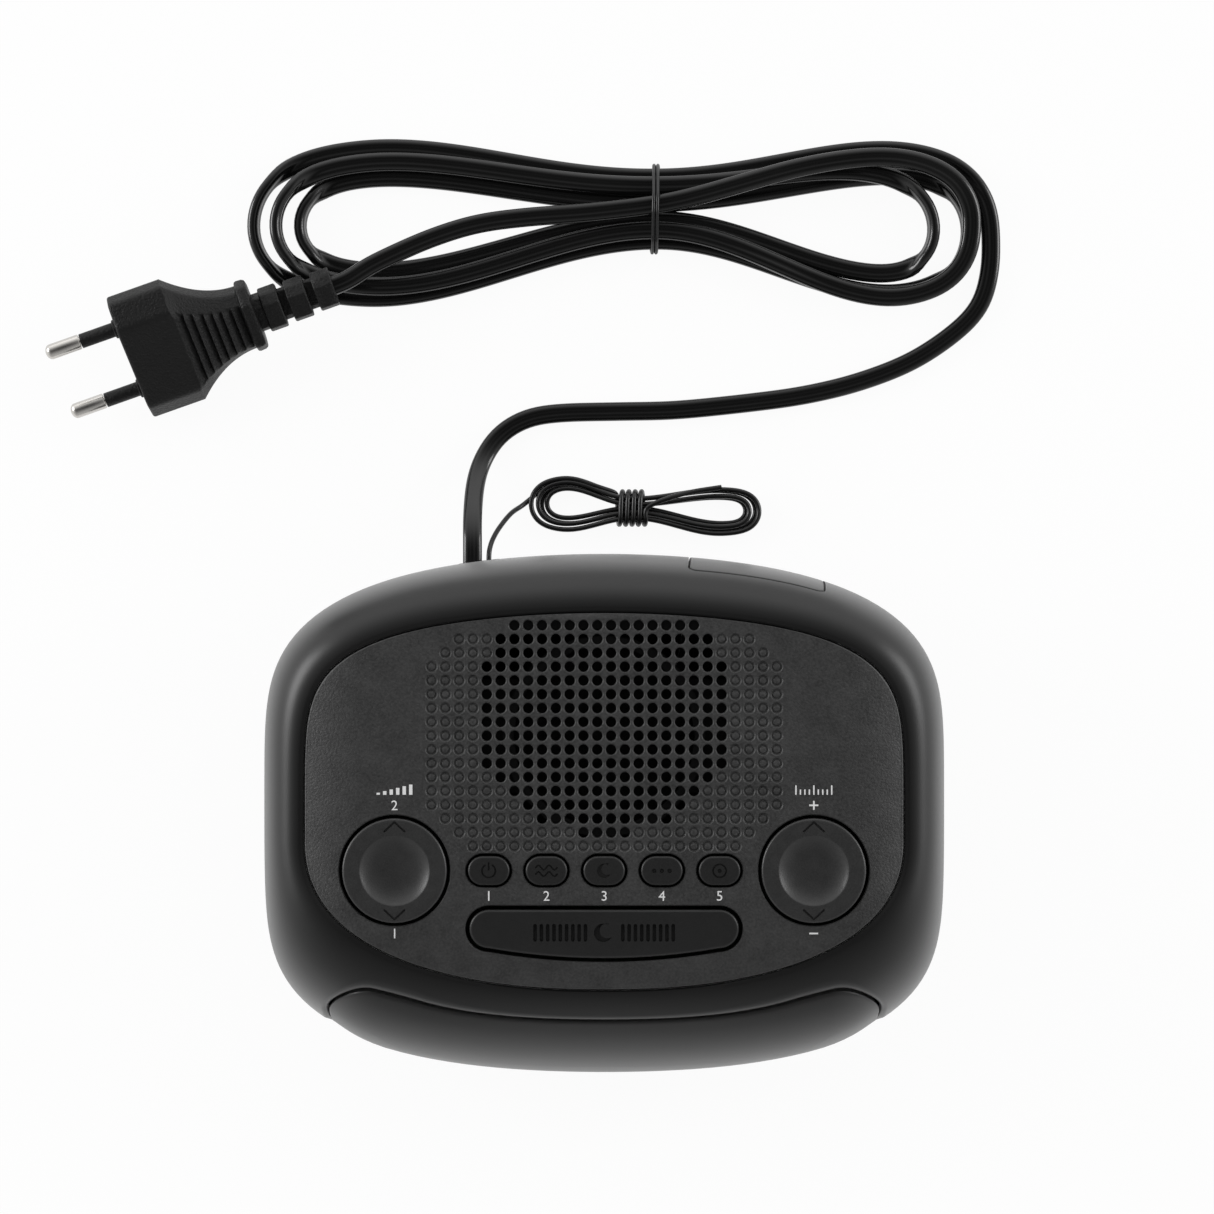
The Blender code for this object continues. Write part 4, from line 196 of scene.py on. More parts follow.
class Finish(Tree):
    """A material with a Principled shader."""

    def __init__(self, name, **constants):
        self.material = bpy.data.materials.new(name)
        self.material.use_nodes = True
        super().__init__(self.material.node_tree)
        self.shader = self.tree.nodes["Principled BSDF"]
        for key, value in constants.items():
            self.set(key.replace("_", " "), value)

    def set(self, socket, value):
        self.feed(self.shader.inputs[socket], value)

    def place(self, kind="Object"):
        return self.node("ShaderNodeTexCoord", output=kind)

    def stretched(self, where, scale):
        return self.node("ShaderNodeMapping", {"Vector": where, "Scale": scale})

    def noise(self, grain, detail=2.0, where=None, roughness=0.5):
        """Noise whose features are about grain millimetres across."""
        return self.node("ShaderNodeTexNoise", {
            "Vector": where or self.place(), "Scale": 1 / (grain * MM), "Detail": detail, "Roughness": roughness})

    def axis(self, name):
        return self.node("ShaderNodeSeparateXYZ", {0: self.place()}, name)

    def tint(self, share, first, second):
        """A colour between two colours."""
        self.set("Base Color", self.node("ShaderNodeMix", {0: share, 6: first, 7: second}, 2, data_type="RGBA"))
        return self

    def gloss(self, pattern, rough, spread):
        """Roughness that goes up by spread where a pattern goes from 0 to 1."""
        self.set("Roughness", pattern * spread + rough)
        return self

    def bump(self, height, depth):
        """Relief of a depth in millimetres where the pattern goes from 0 to 1."""
        self.set("Normal", self.node("ShaderNodeBump", {"Height": height, "Distance": depth * MM, "Strength": 1.0}))
        return self


def grey(value, warm=0.0):
    return (value * (1 + warm), value, value * (1 - warm), 1.0)


def scaled(colour, share):
    return (*(part * share for part in colour[:3]), 1.0)


def moulded(name, colour, rough, grain, depth, mottle=0.12, rough_spread=0.12, **constants):
    """Moulded plastic: spark-eroded grain in relief, a faint mottle in colour and gloss."""
    finish = Finish(name, **constants)
    where = finish.place()
    fine = finish.noise(grain, 3.0, where, 0.6)
    broad = finish.noise(grain * 9, 2.0, where)
    share = (fine * 0.65 + broad * 0.35 - 0.5) * 1.6 + 0.5
    finish.tint(share, scaled(colour, 1 - mottle), scaled(colour, 1 + mottle))
    return finish.gloss(fine, rough - rough_spread / 2, rough_spread).bump(fine, depth)


# Meshes

def cols(*values):
    """Values side by side as the columns of points; a single value is repeated."""
    return np.stack(np.broadcast_arrays(*values), -1)


@contextmanager
def edited(mesh):
    bm = bmesh.new()
    bm.from_mesh(mesh)
    yield bm
    bm.to_mesh(mesh)
    bm.free()


def merge_doubles(bm):
    bmesh.ops.remove_doubles(bm, verts=bm.verts, dist=1e-7)


def mesh_of(points, faces):
    """A mesh from points in millimetres, with its doubles merged and its faces outwards."""
    mesh = bpy.data.meshes.new("part")
    mesh.from_pydata((np.asarray(points, float).reshape(-1, 3) * MM).tolist(), [], faces)
    with edited(mesh) as bm:
        merge_doubles(bm)
        bmesh.ops.triangulate(bm, faces=[face for face in bm.faces if len(face.verts) > 4])
        bmesh.ops.recalc_face_normals(bm, faces=bm.faces)
    return mesh


def skinned(rings, joined=False):
    """A closed mesh over rings of equal counts: joined end to end, or capped."""
    rings = np.asarray(rings, float)
    rows, count = rings.shape[:2]
    index = np.arange(rows * count).reshape(rows, count)
    lower, upper = (index, np.roll(index, -1, 0)) if joined else (index[:-1], index[1:])
    quads = np.stack((lower, np.roll(lower, -1, 1), np.roll(upper, -1, 1), upper), -1)
    faces = quads.reshape(-1, 4).tolist()
    if not joined:
        faces += [index[0].tolist(), index[-1].tolist()]
    return mesh_of(rings, faces)


def turned(profile, steps=64, centre=(0.0, 0.0), hollow=False):
    """A profile of (radius, height) turned about an upright axis: from the axis to the axis, or a closed wall."""
    return skinned([cols(*ring(radius, steps, centre).T, z) for radius, z in profile], hollow)


def prism(outline, low, high):
    """An upright prism over an outline."""
    return skinned([cols(*np.asarray(outline, float).T, z) for z in (low, high)])


def moved(mesh, *places):
    """A mesh after moves, one by one."""
    for place in places:
        mesh.transform(place)
    return mesh


def linked(obj):
    bpy.context.scene.collection.objects.link(obj)
    return obj


def scratch(mesh):
    """An object that is only there to be cut with or evaluated."""
    obj = linked(bpy.data.objects.new(mesh.name, mesh))
    obj.hide_render = True
    return obj


def baked(obj):
    """The evaluated mesh of an object, which is then removed."""
    bpy.context.view_layer.update()
    mesh = bpy.data.meshes.new_from_object(obj.evaluated_get(bpy.context.evaluated_depsgraph_get()))
    bpy.data.objects.remove(obj)
    return mesh


def carved(mesh, *tools):
    """A mesh after tools have been cut from it."""
    host = scratch(mesh)
    helpers = [scratch(tool) for tool in tools]
    for helper in helpers:
        modifier = host.modifiers.new(helper.name, "BOOLEAN")
        modifier.operation, modifier.solver, modifier.object = "DIFFERENCE", "MANIFOLD", helper
    result = baked(host)
    for helper in helpers:
        bpy.data.objects.remove(helper)
    return result


def merged(*meshes):
    """Several meshes as one."""
    whole = bpy.data.meshes.new("whole")
    with edited(whole) as bm:
        for mesh in meshes:
            bm.from_mesh(mesh)
    return whole


def piece(name, mesh, finish, body, *nodes, slot, sharp=32.0):
    """Put a finished mesh on a body, in place of CAD nodes."""
    mesh.name = name
    mesh.materials.clear()
    mesh.materials.append(finish.material)
    mesh.shade_smooth()
    mesh.set_sharp_from_angle(angle=math.radians(sharp))
    obj = linked(bpy.data.objects.new(name, mesh))
    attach(obj, body)
    if nodes:
        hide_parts(*nodes)
    return obj


# Outlines

def ring(radius, steps, centre=(0.0, 0.0)):
    """Even points round a circle."""
    turn = np.linspace(0, math.tau, steps, endpoint=False)
    return cols(centre[0] + radius * np.cos(turn), centre[1] + radius * np.sin(turn))


def arc(centre, radius, start, end, steps=24):
    turn = np.radians(np.linspace(start, end, steps))
    return cols(centre[0] + radius * np.cos(turn), centre[1] + radius * np.sin(turn))


def fillet(radius, steps):
    """A rounded edge as pairs of (inside, depth), from the face to the side."""
    turns = np.linspace(0, QUARTER, steps)
    return [(radius - radius * math.sin(turn), radius - radius * math.cos(turn)) for turn in turns]


def rounded_rect(half, low, high, radius, steps=12, edge=10):
    """A rectangle with round corners, from its lower right corner round to the left, evenly subdivided."""
    radius = max(radius, 0.05)
    x, bottom, top = half - radius, low + radius, high - radius
    corners = ((x, bottom, -90), (x, top, 0), (-x, top, 90), (-x, bottom, 180))
    arcs = [arc(corner, radius, corner[2], corner[2] + 90, steps) for corner in corners]
    share = np.linspace(0, 1, edge + 2)[1:-1, None]
    points = []
    for corner, after in zip(arcs, arcs[1:] + arcs[:1]):
        points += [corner, corner[-1] + (after[0] - corner[-1]) * share]
    return np.vstack(points)


def stadium(half, radius, centre, bulge=0.0, steps=24):
    """A stadium along X; bulge bows its front edge."""
    run = half - radius
    across = np.linspace(run, -run, steps)[1:-1]
    front = cols(-across, -radius - bulge * (1 - (across / run) ** 2))
    return np.vstack((arc((run, 0), radius, -90, 90, steps), cols(across, radius),
                      arc((-run, 0), radius, 90, 270, steps), front)) + np.array(centre)


def inset(outline, distance):
    """A dense outline drawn in by a distance."""
    along = np.roll(outline, -1, 0) - np.roll(outline, 1, 0)
    along /= np.linalg.norm(along, axis=1)[:, None]
    return outline + cols(-along[:, 1], along[:, 0]) * distance


# Surface of the case

ANGLES = np.linspace(0, math.tau, 256, endpoint=False)


def oval(angle, half, rear, front, corners, bows):
    c, s = np.cos(angle), np.sin(angle)
    depth, corner, bow = (np.where(s >= 0, a, b) for a, b in ((rear, front), corners, bows))
    reach = (np.abs(c) ** corner + np.abs(s) ** corner) ** (-1 / corner)
    across = reach * c
    return half * across, depth * reach * s * (1 - bow * across ** 2)


def case_plan(angle):
    return oval(angle, HALF_WIDTH, HALF_DEPTH, HALF_DEPTH, (CASE_CORNER,) * 2, (CASE_BOW,) * 2)


def panel_plan(angle, inside=0.0):
    x, y = oval(angle, PANEL_HALF - inside, PANEL_REAR - PANEL_WIDEST - inside,
                PANEL_WIDEST - PANEL_FRONT - inside, PANEL_CORNERS, (PANEL_BOW, 0.0))
    return x, y + PANEL_WIDEST


def panel_z(x, y):
    """Height of the panel's face: flat in the middle, falling away at the edges."""
    side = np.maximum(0.0, np.abs(x) - (PANEL_HALF - FLAT_MARGIN[0])) / FLAT_MARGIN[0]
    front = np.maximum(0.0, PANEL_FRONT + FLAT_MARGIN[1] - y) / FLAT_MARGIN[1]
    rear = np.maximum(0.0, y - (PANEL_REAR - FLAT_MARGIN[2])) / FLAT_MARGIN[2]
    return TOP - FALL[0] * side ** 2 - FALL[1] * front ** 2 - FALL[2] * rear ** 2


def by_direction(angle, values):
    s = np.sin(angle)
    front, side, rear = values
    return side + (rear - side) * np.maximum(0, s) ** 2 + (front - side) * np.maximum(0, -s) ** 2


def case_point(angle, level):
    """Outer surface of the housing: level 0 at the panel, 1 at the widest line, 2 at the parting line."""
    inner, outer = np.array(panel_plan(angle, -PANEL_GAP)), np.array(case_plan(angle))
    top = panel_z(*panel_plan(angle)) - PANEL_PROUD
    widest, power = by_direction(angle, WIDEST), by_direction(angle, SHOULDER_POWER)
    turn = np.clip(level, 0, 1) * QUARTER
    out = np.sin(turn) ** (2 / power)
    down = 1 - np.maximum(0, np.cos(turn)) ** (2 / power)
    fall = np.clip(level - 1, 0, 1)
    plan = (inner + (outer - inner) * out) * (1 - TUCK * fall ** 2.2 / np.hypot(*outer))
    return cols(*plan, top + (widest - top) * down + (PARTING_Z - widest) * fall)


def wall_y(x, z, rear):
    """Where the housing's outer surface is at a place and height of its front or rear."""
    sign = 1 if rear else -1
    low = np.full(np.shape(x), QUARTER)
    high = np.where(x >= 0, 0.0, math.pi)
    for _ in range(19):
        middle = (low + high) / 2
        upper, lower = np.zeros_like(low), np.full_like(low, 2.0)
        for _ in range(19):
            level = (upper + lower) / 2
            above = case_point(sign * middle, level)[..., 2] > z
            upper, lower = np.where(above, level, upper), np.where(above, lower, level)
        found = case_point(sign * middle, level)
        inside = np.abs(found[..., 0]) < np.abs(x)
        low, high = np.where(inside, middle, low), np.where(inside, high, middle)
    return found[..., 1]


def wall_patch(outline_at, depths, rear, turn=0.0, place=(0.0, 0.0)):
    """Rings of a patch of the front or rear wall: outline_at(inside) gives an outline on the wall, and
    depths are (inside, depth under the surface) pairs."""
    c, s = math.cos(math.radians(turn)), math.sin(math.radians(turn))
    step = 0.05
    across, z = np.moveaxis(np.array([outline_at(inside) for inside, _ in depths]), -1, 0)
    reach = np.zeros_like(across)
    for _ in range(3 if turn else 0):
        x = place[0] + across * c - reach * s
        reach = (wall_y(x, z, rear) - place[1] - across * s) / c
    x = place[0] + across * c - reach * s
    y, right, left, over, under = wall_y(np.stack((x, x + step, x - step, x, x)),
                                         np.stack((z, z, z, z + step, z - step)), rear)
    normal = cols((left - right) / (2 * step), 1.0, (under - over) / (2 * step))
    normal *= (1 if rear else -1) / np.linalg.norm(normal, axis=-1)[..., None]
    return cols(x, y, z) - normal * np.array([depth for _, depth in depths])[:, None, None]


# Finishes

CASE_BLACK = moulded("soft_black_case", grey(0.003), 0.38, 0.3, 0.006, 0.15, 0.06, Specular_IOR_Level=0.42,
                     Sheen_Weight=0.25, Sheen_Roughness=0.4)
PANEL_BLACK = moulded("grained_black_panel", grey(0.028), 0.48, 0.6, 0.16, 0.9, 0.16)
KEY_BLACK = moulded("satin_black_keys", grey(0.009), 0.42, 0.36, 0.02, 0.4, 0.12, Specular_IOR_Level=0.45)
DIAL_BLACK = moulded("satin_black_dials", grey(0.024), 0.38, 0.36, 0.03, 0.5, 0.12)
PLUG_BLACK = moulded("grained_black_plug", grey(0.003), 0.45, 0.6, 0.25, 0.5, 0.2, Specular_IOR_Level=0.3)
RUBBER = moulded("black_rubber", grey(0.010), 0.8, 0.4, 0.02)
SWITCH_BLACK = moulded("switch_black", grey(0.03), 0.45, 0.3, 0.01)
TIE_WIRE = moulded("coated_tie_wire", grey(0.006), 0.35, 0.4, 0.01)
PAINTED = moulded("black_painted_steel", grey(0.012), 0.55, 0.5, 0.01)
FERRITE = moulded("ferrite", grey(0.05, -0.04), 0.62, 0.35, 0.03)
JACKET = moulded("battery_jacket", (0.09, 0.09, 0.1, 1.0), 0.32, 0.6, 0.01)
MODULE = moulded("display_face", (0.02, 0.018, 0.018, 1.0), 0.35, 0.4, 0.008)
AERIAL = moulded("black_vinyl_wire", grey(0.005), 0.3, 0.5, 0.003, 0.3, 0.08)


def smoked_plastic():
    finish = Finish("smoked_lens", Base_Color=grey(0.04), Transmission_Weight=0.85, IOR=1.46, Specular_IOR_Level=0.32)
    return finish.gloss(finish.noise(0.5), 0.3, 0.06)


def printed_ink():
    finish = Finish("white_ink")
    patch = finish.noise(0.18, 3.0)
    return finish.tint(patch, grey(0.68), grey(0.86)).gloss(patch, 0.45, 0.2).bump(patch, 0.01)


def metal(name, colour, rough, stretch, grain):
    """Plated metal with fine drawn lines along one axis."""
    finish = Finish(name, Metallic=1.0)
    lines = finish.noise(grain, 2.0, finish.stretched(finish.place(), stretch))
    finish.tint(lines, scaled(colour, 0.82), scaled(colour, 1.0))
    return finish.gloss(lines, rough - 0.04, 0.08).bump(lines, 0.001)


def board_laminate():
    """Paper-based laminate with a green mask and its copper tracks showing through."""
    finish = Finish("circuit_board")
    tracks = finish.node("ShaderNodeTexBrick", {
        "Vector": finish.place(), "Scale": 160.0, "Mortar Size": 0.06, "Color1": grey(0.0), "Color2": grey(0.0),
        "Mortar": grey(1.0)}, offset=0.37, squash=1.0)
    finish.tint(tracks, (0.008, 0.018, 0.008, 1.0), (0.02, 0.04, 0.018, 1.0))
    return finish.gloss(finish.noise(0.6), 0.3, 0.2).bump(tracks, 0.03)


def cone_paper():
    finish = Finish("cone_paper", Sheen_Weight=0.2)
    fibre = finish.noise(0.3, 5.0, roughness=0.7)
    return finish.tint(fibre, grey(0.012), grey(0.03)).gloss(fibre, 0.8, 0.15).bump(fibre, 0.08)


def wound_copper():
    """Enamelled wire laid turn beside turn."""
    finish = Finish("varnished_copper", Metallic=0.9)
    turns = finish.axis("X").wave(0.45)
    finish.tint(turns, (0.3, 0.1, 0.03, 1.0), (0.62, 0.26, 0.1, 1.0))
    return finish.gloss(turns, 0.5, -0.2).bump(turns, 0.12)


def laminated_steel():
    """Transformer sheets stacked along Y."""
    finish = Finish("laminated_steel", Metallic=1.0)
    sheet = finish.axis("Y").wave(0.5)
    finish.tint(sheet, (0.16, 0.15, 0.14, 1.0), (0.42, 0.41, 0.39, 1.0))
    return finish.gloss(finish.noise(0.5), 0.35, 0.2).bump(sheet, 0.06)


def cord_vinyl():
    """Glossy extruded vinyl with faint lines along its run; its UV map runs round and along."""
    finish = Finish("black_vinyl_cord")
    where = finish.stretched(finish.place("UV"), (60.0, 1.2, 1.0))
    lines = finish.node("ShaderNodeTexNoise", {"Vector": where, "Scale": 1.0, "Detail": 3.0})
    pores = finish.noise(0.8)
    finish.set("Roughness", lines * 0.06 + pores * 0.05 + 0.13)
    return finish.tint(lines, grey(0.003), grey(0.006)).bump(lines * 0.7 + pores * 0.3, 0.006)


def unlit_segments():
    finish = Finish("unlit_segments")
    haze = finish.noise(0.7)
    return finish.tint(haze, (0.2, 0.03, 0.02, 1.0), (0.28, 0.05, 0.035, 1.0)).gloss(haze, 0.3, 0.15)


LENS_SMOKE, INK, BOARD, PAPER = smoked_plastic(), printed_ink(), board_laminate(), cone_paper()
COPPER, SHEETS, SEGMENT, CORD = wound_copper(), laminated_steel(), unlit_segments(), cord_vinyl()
NICKEL = metal("nickel_plated_brass", (0.66, 0.64, 0.61), 0.24, (1.0, 1.0, 1.0), 0.4)
STEEL = metal("zinc_plated_steel", (0.6, 0.6, 0.58), 0.34, (1.0, 0.2, 1.0), 0.3)


# Geometry Nodes

class Layout(Tree):
    """A Geometry Nodes tree with named inputs."""

    def __init__(self, name, **inputs):
        super().__init__(bpy.data.node_groups.new(name, "GeometryNodeTree"))
        self.identifiers = {}
        for label, kind in {"Geometry": "Geometry", **inputs}.items():
            socket = self.tree.interface.new_socket(label, in_out="INPUT", socket_type="NodeSocket" + kind)
            self.identifiers[label] = socket.identifier
        self.tree.interface.new_socket("Geometry", in_out="OUTPUT", socket_type="NodeSocketGeometry")
        self.given = self.node("NodeGroupInput").of

    def shape(self, label):
        return self.node("GeometryNodeObjectInfo", {"Object": self.given(label)}, "Geometry")

    def realised(self, geometry):
        return self.node("GeometryNodeRealizeInstances", {0: geometry})

    def deliver(self, geometry):
        """End the tree with real geometry in its finish."""
        self.node("NodeGroupOutput", {0: self.node("GeometryNodeSetMaterial", {
            "Geometry": self.realised(geometry), "Material": self.given("Finish")})})
        return self

    def run(self, mesh, **values):
        """The mesh that the tree makes of a mesh; a mesh among the values goes in as an object."""
        host = scratch(mesh)
        modifier = host.modifiers.new(self.tree.name, "NODES")
        modifier.node_group = self.tree
        helpers = {label: scratch(value) for label, value in values.items() if isinstance(value, bpy.types.Mesh)}
        for label, value in {**values, **helpers}.items():
            modifier[self.identifiers[label]] = value
        result = baked(host)
        for helper in helpers.values():
            bpy.data.objects.remove(helper)
        return result


def set_out_tree():
    """One part at every point of a mesh."""
    tree = Layout("set_out_parts", Part="Object", Turn="Vector", Finish="Material")
    return tree.deliver(tree.node("GeometryNodeInstanceOnPoints", {
        "Points": tree.given("Geometry"), "Instance": tree.shape("Part"), "Rotation": tree.given("Turn")}))


def perforate_tree():
    """Two kinds of hole sunk into a plate, at points that count pitches from the middle of the first row."""
    tree = Layout("perforate_grille", Pitch="Float", Row="Float", Face="Float", Places="Object", Hole="Object",
                  Dimple="Object", Finish="Material")
    at = tree.node("ShaderNodeVectorMath", {0: tree.node("GeometryNodeInputPosition"), "Scale": tree.given("Pitch")},
                   operation="SCALE")
    lift = tree.node("ShaderNodeCombineXYZ", {1: tree.given("Row"), 2: tree.given("Face")})
    points = tree.node("GeometryNodeSetPosition", {
        "Geometry": tree.shape("Places"),
        "Position": tree.node("ShaderNodeVectorMath", {0: at, 1: lift}, operation="ADD")})
    plate = tree.given("Geometry")
    through = tree.node("GeometryNodeInputNamedAttribute", {"Name": "through"}, data_type="BOOLEAN")
    blind = tree.node("FunctionNodeBooleanMath", {0: through}, operation="NOT")
    for cutter, chosen in (("Hole", through), ("Dimple", blind)):
        tools = tree.realised(tree.node("GeometryNodeInstanceOnPoints", {
            "Points": points, "Selection": chosen, "Instance": tree.shape(cutter)}))
        plate = tree.node("GeometryNodeMeshBoolean", {"Mesh 1": plate, "Mesh 2": tools},
                          operation="DIFFERENCE", solver="MANIFOLD")
    return tree.deliver(plate)


SET_OUT, PERFORATE = set_out_tree(), perforate_tree()


def set_out(places, part, finish, turn=(0.0, 0.0, 0.0)):
    """A part repeated at places in millimetres, as one mesh."""
    return SET_OUT.run(mesh_of(places, []), Part=part, Turn=turn, Finish=finish.material)


# Case

def upright(mesh):
    """Stand a flat XY mesh up, so that its Y becomes height and its height runs to the front."""
    return moved(mesh, Matrix.Rotation(QUARTER, 4, "X"))


def case_under(angle, level, depth):
    """Points at a depth under the housing's outer surface."""
    step = 0.01
    along = case_point(angle + step, level) - case_point(angle - step, level)
    down = case_point(angle, min(2.0, level + step)) - case_point(angle, max(0.02, level - step))
    normal = np.cross(down, along)
    return case_point(angle, level) - normal / np.linalg.norm(normal, axis=1)[:, None] * depth


def lens_outline(inside):
    """The lens's outline on the front wall; its upper edge rises towards the sides."""
    x, z = rounded_rect(LENS_HALF - inside, LENS_LOW + inside, LENS_HIGH - inside, LENS_CORNER - inside, 14, 26).T
    middle = (LENS_LOW + LENS_HIGH) / 2
    share = np.clip((z - middle) / (LENS_HIGH - middle), 0, 1.1) ** 2
    return cols(x, z + LENS_RISE * share * np.minimum(1, np.abs(x) / 50.0) ** 2)


def door_outline(inside):
    return rounded_rect(DOOR_HALF - inside, DOOR_LOW + inside, DOOR_HIGH - inside, 2.0 - inside, 6, 12)


DOOR_WALL = float(wall_y(np.array([DOOR_X]), np.array([DOOR_SET]), True)[0])
DOOR_PLACE = Matrix.Translation((DOOR_X * MM, DOOR_WALL * MM, 0)) @ Matrix.Rotation(math.radians(DOOR_TURN), 4, "Z")


def build_housing():
    """Upper housing with a rounded lip round the lens and openings for the battery door and the leads."""
    rings = [case_point(ANGLES, 2.0) * (1 - 0.004, 1 - 0.004, 1)]
    rings += [case_point(ANGLES, level) for level in (*np.linspace(1.975, 1, 16), *np.linspace(0.97, 0.02, 40))]
    edge = panel_z(*panel_plan(ANGLES))
    ledge = edge - PANEL_THICK - SEAT
    for inside, z in ((-PANEL_GAP, edge - PANEL_PROUD - 0.3), (-PANEL_GAP, ledge), (LEDGE, ledge),
                      (LEDGE, ledge - LEDGE_THICK)):
        rings.append(cols(*panel_plan(ANGLES, inside), z))
    rings += [case_under(ANGLES, level, WALL) for level in (0.3, 0.5, 0.7, 0.85, 1.0, 1.3, 1.6, 2.0)]
    lens_cut = upright(prism(lens_outline(-LENS_GAP - LENS_LIP), 20.0, 80.0))
    door_cut = moved(upright(prism(door_outline(-DOOR_GAP), -9.0, 12.0)), DOOR_PLACE)
    rise = BUSH_RISE + BUSH_GAP
    bush_cut = upright(prism(rounded_rect(BUSH_HALF + BUSH_GAP, BUSH_Z - rise, BUSH_Z + rise, 1.8, 6, 1), -80.0, -50.0))
    shell = carved(skinned(rings, joined=True), lens_cut, door_cut,
                   moved(bush_cut, Matrix.Translation((BUSH_X * MM, 0, 0))))
    section = [(-LENS_GAP - LENS_LIP * (1 - math.cos(turn)), LENS_LIP * (1 - math.sin(turn)))
               for turn in np.linspace(0, math.tau, 16, endpoint=False)]
    lip = skinned(wall_patch(lens_outline, section, False), joined=True)
    piece("housing_shell", merged(shell, lip), CASE_BLACK, "case", "upper_housing", slot="case_plastic")


def build_base():
    """Base cover with a soft lower edge, wells for the case screws, the screws and the feet."""
    x, y = case_plan(ANGLES)
    length = np.hypot(x, y)
    profile = ((3.0 + WALL, 4.4), (WALL, 8.7), (0.3, 8.7), (0.0, 8.4), (0.1, 7.6), (0.5, 6.0), (0.95, 4.9), (1.6, 3.8),
               (2.3, 3.0), (3.1, 2.5), (4.0, 2.25), (4.8, BASE_Z))
    base = skinned([cols(x * (1 - (TUCK + d) / length), y * (1 - (TUCK + d) / length), z) for d, z in profile])
    well = ((0, 1.0), (3.8, 1.0), (3.4, 2.6), (3.4, 6.4), (0, 6.4))
    base = carved(base, merged(*(turned(well, 32, place) for place in BOSS_PLACES)))
    piece("base_shell", base, CASE_BLACK, "case", "base_cover", slot="case_plastic")
    foot = turned(((0, 0), (4.9, 0), (5.5, 0.12), (5.85, 0.5), (6.4, 1.6), (6.5, 1.9), (0, 1.9)), 48)
    names = [end + "_" + side for end in ("rear", "front") for side in ("left", "right")]
    piece("rubber_feet", set_out(FOOT_PLACES, foot, RUBBER), RUBBER, "case", *["foot_" + n for n in names],
          slot="rubber")
    screw = turned(((0, 3.95), (1.2, 3.95), (2.1, 4.15), (2.6, 4.6), (2.8, 5.2), (2.8, 6.1), (1.4, 6.1), (1.4, 18),
                    (0, 19.5)), 32)
    for a, b in ((1.7, 0.35), (0.35, 1.7)):
        screw = carved(screw, prism(rounded_rect(a, -b, b, 0.2, 3, 0), 3.0, 5.1))
    piece("case_screws", set_out(BOSS_PLACES, screw, STEEL), STEEL, "case", *["case_screw_" + n for n in names],
          slot="steel")


def build_lens():
    """Smoked lens with soft edges; four unlit figures on the module behind it."""
    face = [(d, LENS_RECESS - LENS_CROWN * (1 - math.exp(-((d - LENS_FILLET) / 6) ** 1.4)))
            for d in (19.6, 17, 14, 11, 8.5, 6.5, 5, 3.8, 2.8, 2.0, 1.4, 1.0)]
    edge = [(inside, LENS_RECESS + depth) for inside, depth in fillet(LENS_FILLET, 6)]
    back = [(d, LENS_BACK) for d in (0.0, 1.2, 3.5, 6, 10, 14, 19.6)]
    lens = skinned(wall_patch(lens_outline, face + edge + back, False))
    piece("smoked_lens", lens, LENS_SMOKE, "case", "display_lens", slot="lens")
    lean = math.tan(math.radians(FIGURE_LEAN))
    across = np.array(((-3.0, 0.0), (-2.2, 0.8), (2.2, 0.8), (3.0, 0.0), (2.2, -0.8), (-2.2, -0.8)))
    along = np.array(((0.0, -3.6), (0.8, -2.8), (0.8, 2.8), (0.0, 3.6), (-0.8, 2.8), (-0.8, -2.8)))
    bars = [across + (0.0, y) for y in (-7.6, 0.0, 7.6)] + [along + (x, y) for x in (-3.4, 3.4) for y in (-3.8, 3.8)]
    meshes = [prism(cols(x + y * lean + digit, y), FIGURE_LOW, FIGURE_HIGH)
              for digit in DIGITS for x, y in (bar.T for bar in bars)]
    colon = ((0, FIGURE_LOW), (1.0, FIGURE_LOW), (1.0, 4.3), (0, 4.3))
    meshes += [turned(colon, 20, (y * lean, y)) for y in (-3.2, 3.2)]
    figures = moved(upright(merged(*meshes)), Matrix.Translation(Vector(DISPLAY_PLACE) * MM)
                    @ Matrix.Rotation(-math.radians(DISPLAY_LEAN), 4, "X"))
    piece("display_figures", figures, SEGMENT, "case", slot="display_face")


def build_door():
    """Battery door flush with the rear wall, with two hinge tabs inside."""
    depths = [(d, 0.0) for d in (14.6, 12, 9, 6, 3.5, 1.5, 0.7)] + fillet(DOOR_FILLET, 4)
    depths += [(d, WALL) for d in (0.0, 4.0, 9.0, 14.6)]
    door = skinned(wall_patch(door_outline, depths, True, DOOR_TURN, (DOOR_X, DOOR_WALL)))
    face = -(WALL + TUCK + 0.9)
    outline = np.array(((face - 1.4, -3.2), (face - 0.4, -3.2), (face, -2.4), (face, 1.2), (-2.0, 1.2), (-2.0, 4.0),
                        (face - 1.4, 4.0))) + (0.0, DOOR_LOW)
    sideways = Matrix(((0, 0, 1, 0), (1, 0, 0, 0), (0, 1, 0, 0), (0, 0, 0, 1)))
    tabs = [moved(prism(outline, side - 3.0, side + 3.0), sideways, DOOR_PLACE) for side in (-9.0, 9.0)]
    piece("door_cover", merged(door, *tabs), CASE_BLACK, "battery_door", "battery_door", slot="case_plastic")


def build_bush():
    """Rubber bush with a soft edge where the leads come out."""
    rings = []
    for inside, y in ((0.8, 56.3), (0.0, 56.6), (0.0, 64.6), (0.15, 64.95), (0.5, 65.15), (1.0, BUSH_FACE)):
        rise = BUSH_RISE - inside
        x, z = rounded_rect(BUSH_HALF - inside, BUSH_Z - rise, BUSH_Z + rise, 1.6 - inside * 0.5, 8, 4).T
        x = x + BUSH_X
        rings.append(cols(x, np.minimum(y, wall_y(x, z, True) + 0.4 * (inside + 0.2)), z))
    piece("outlet_bush", skinned(rings), RUBBER, "case", "lead_bush", slot="rubber")


# Panel and keys

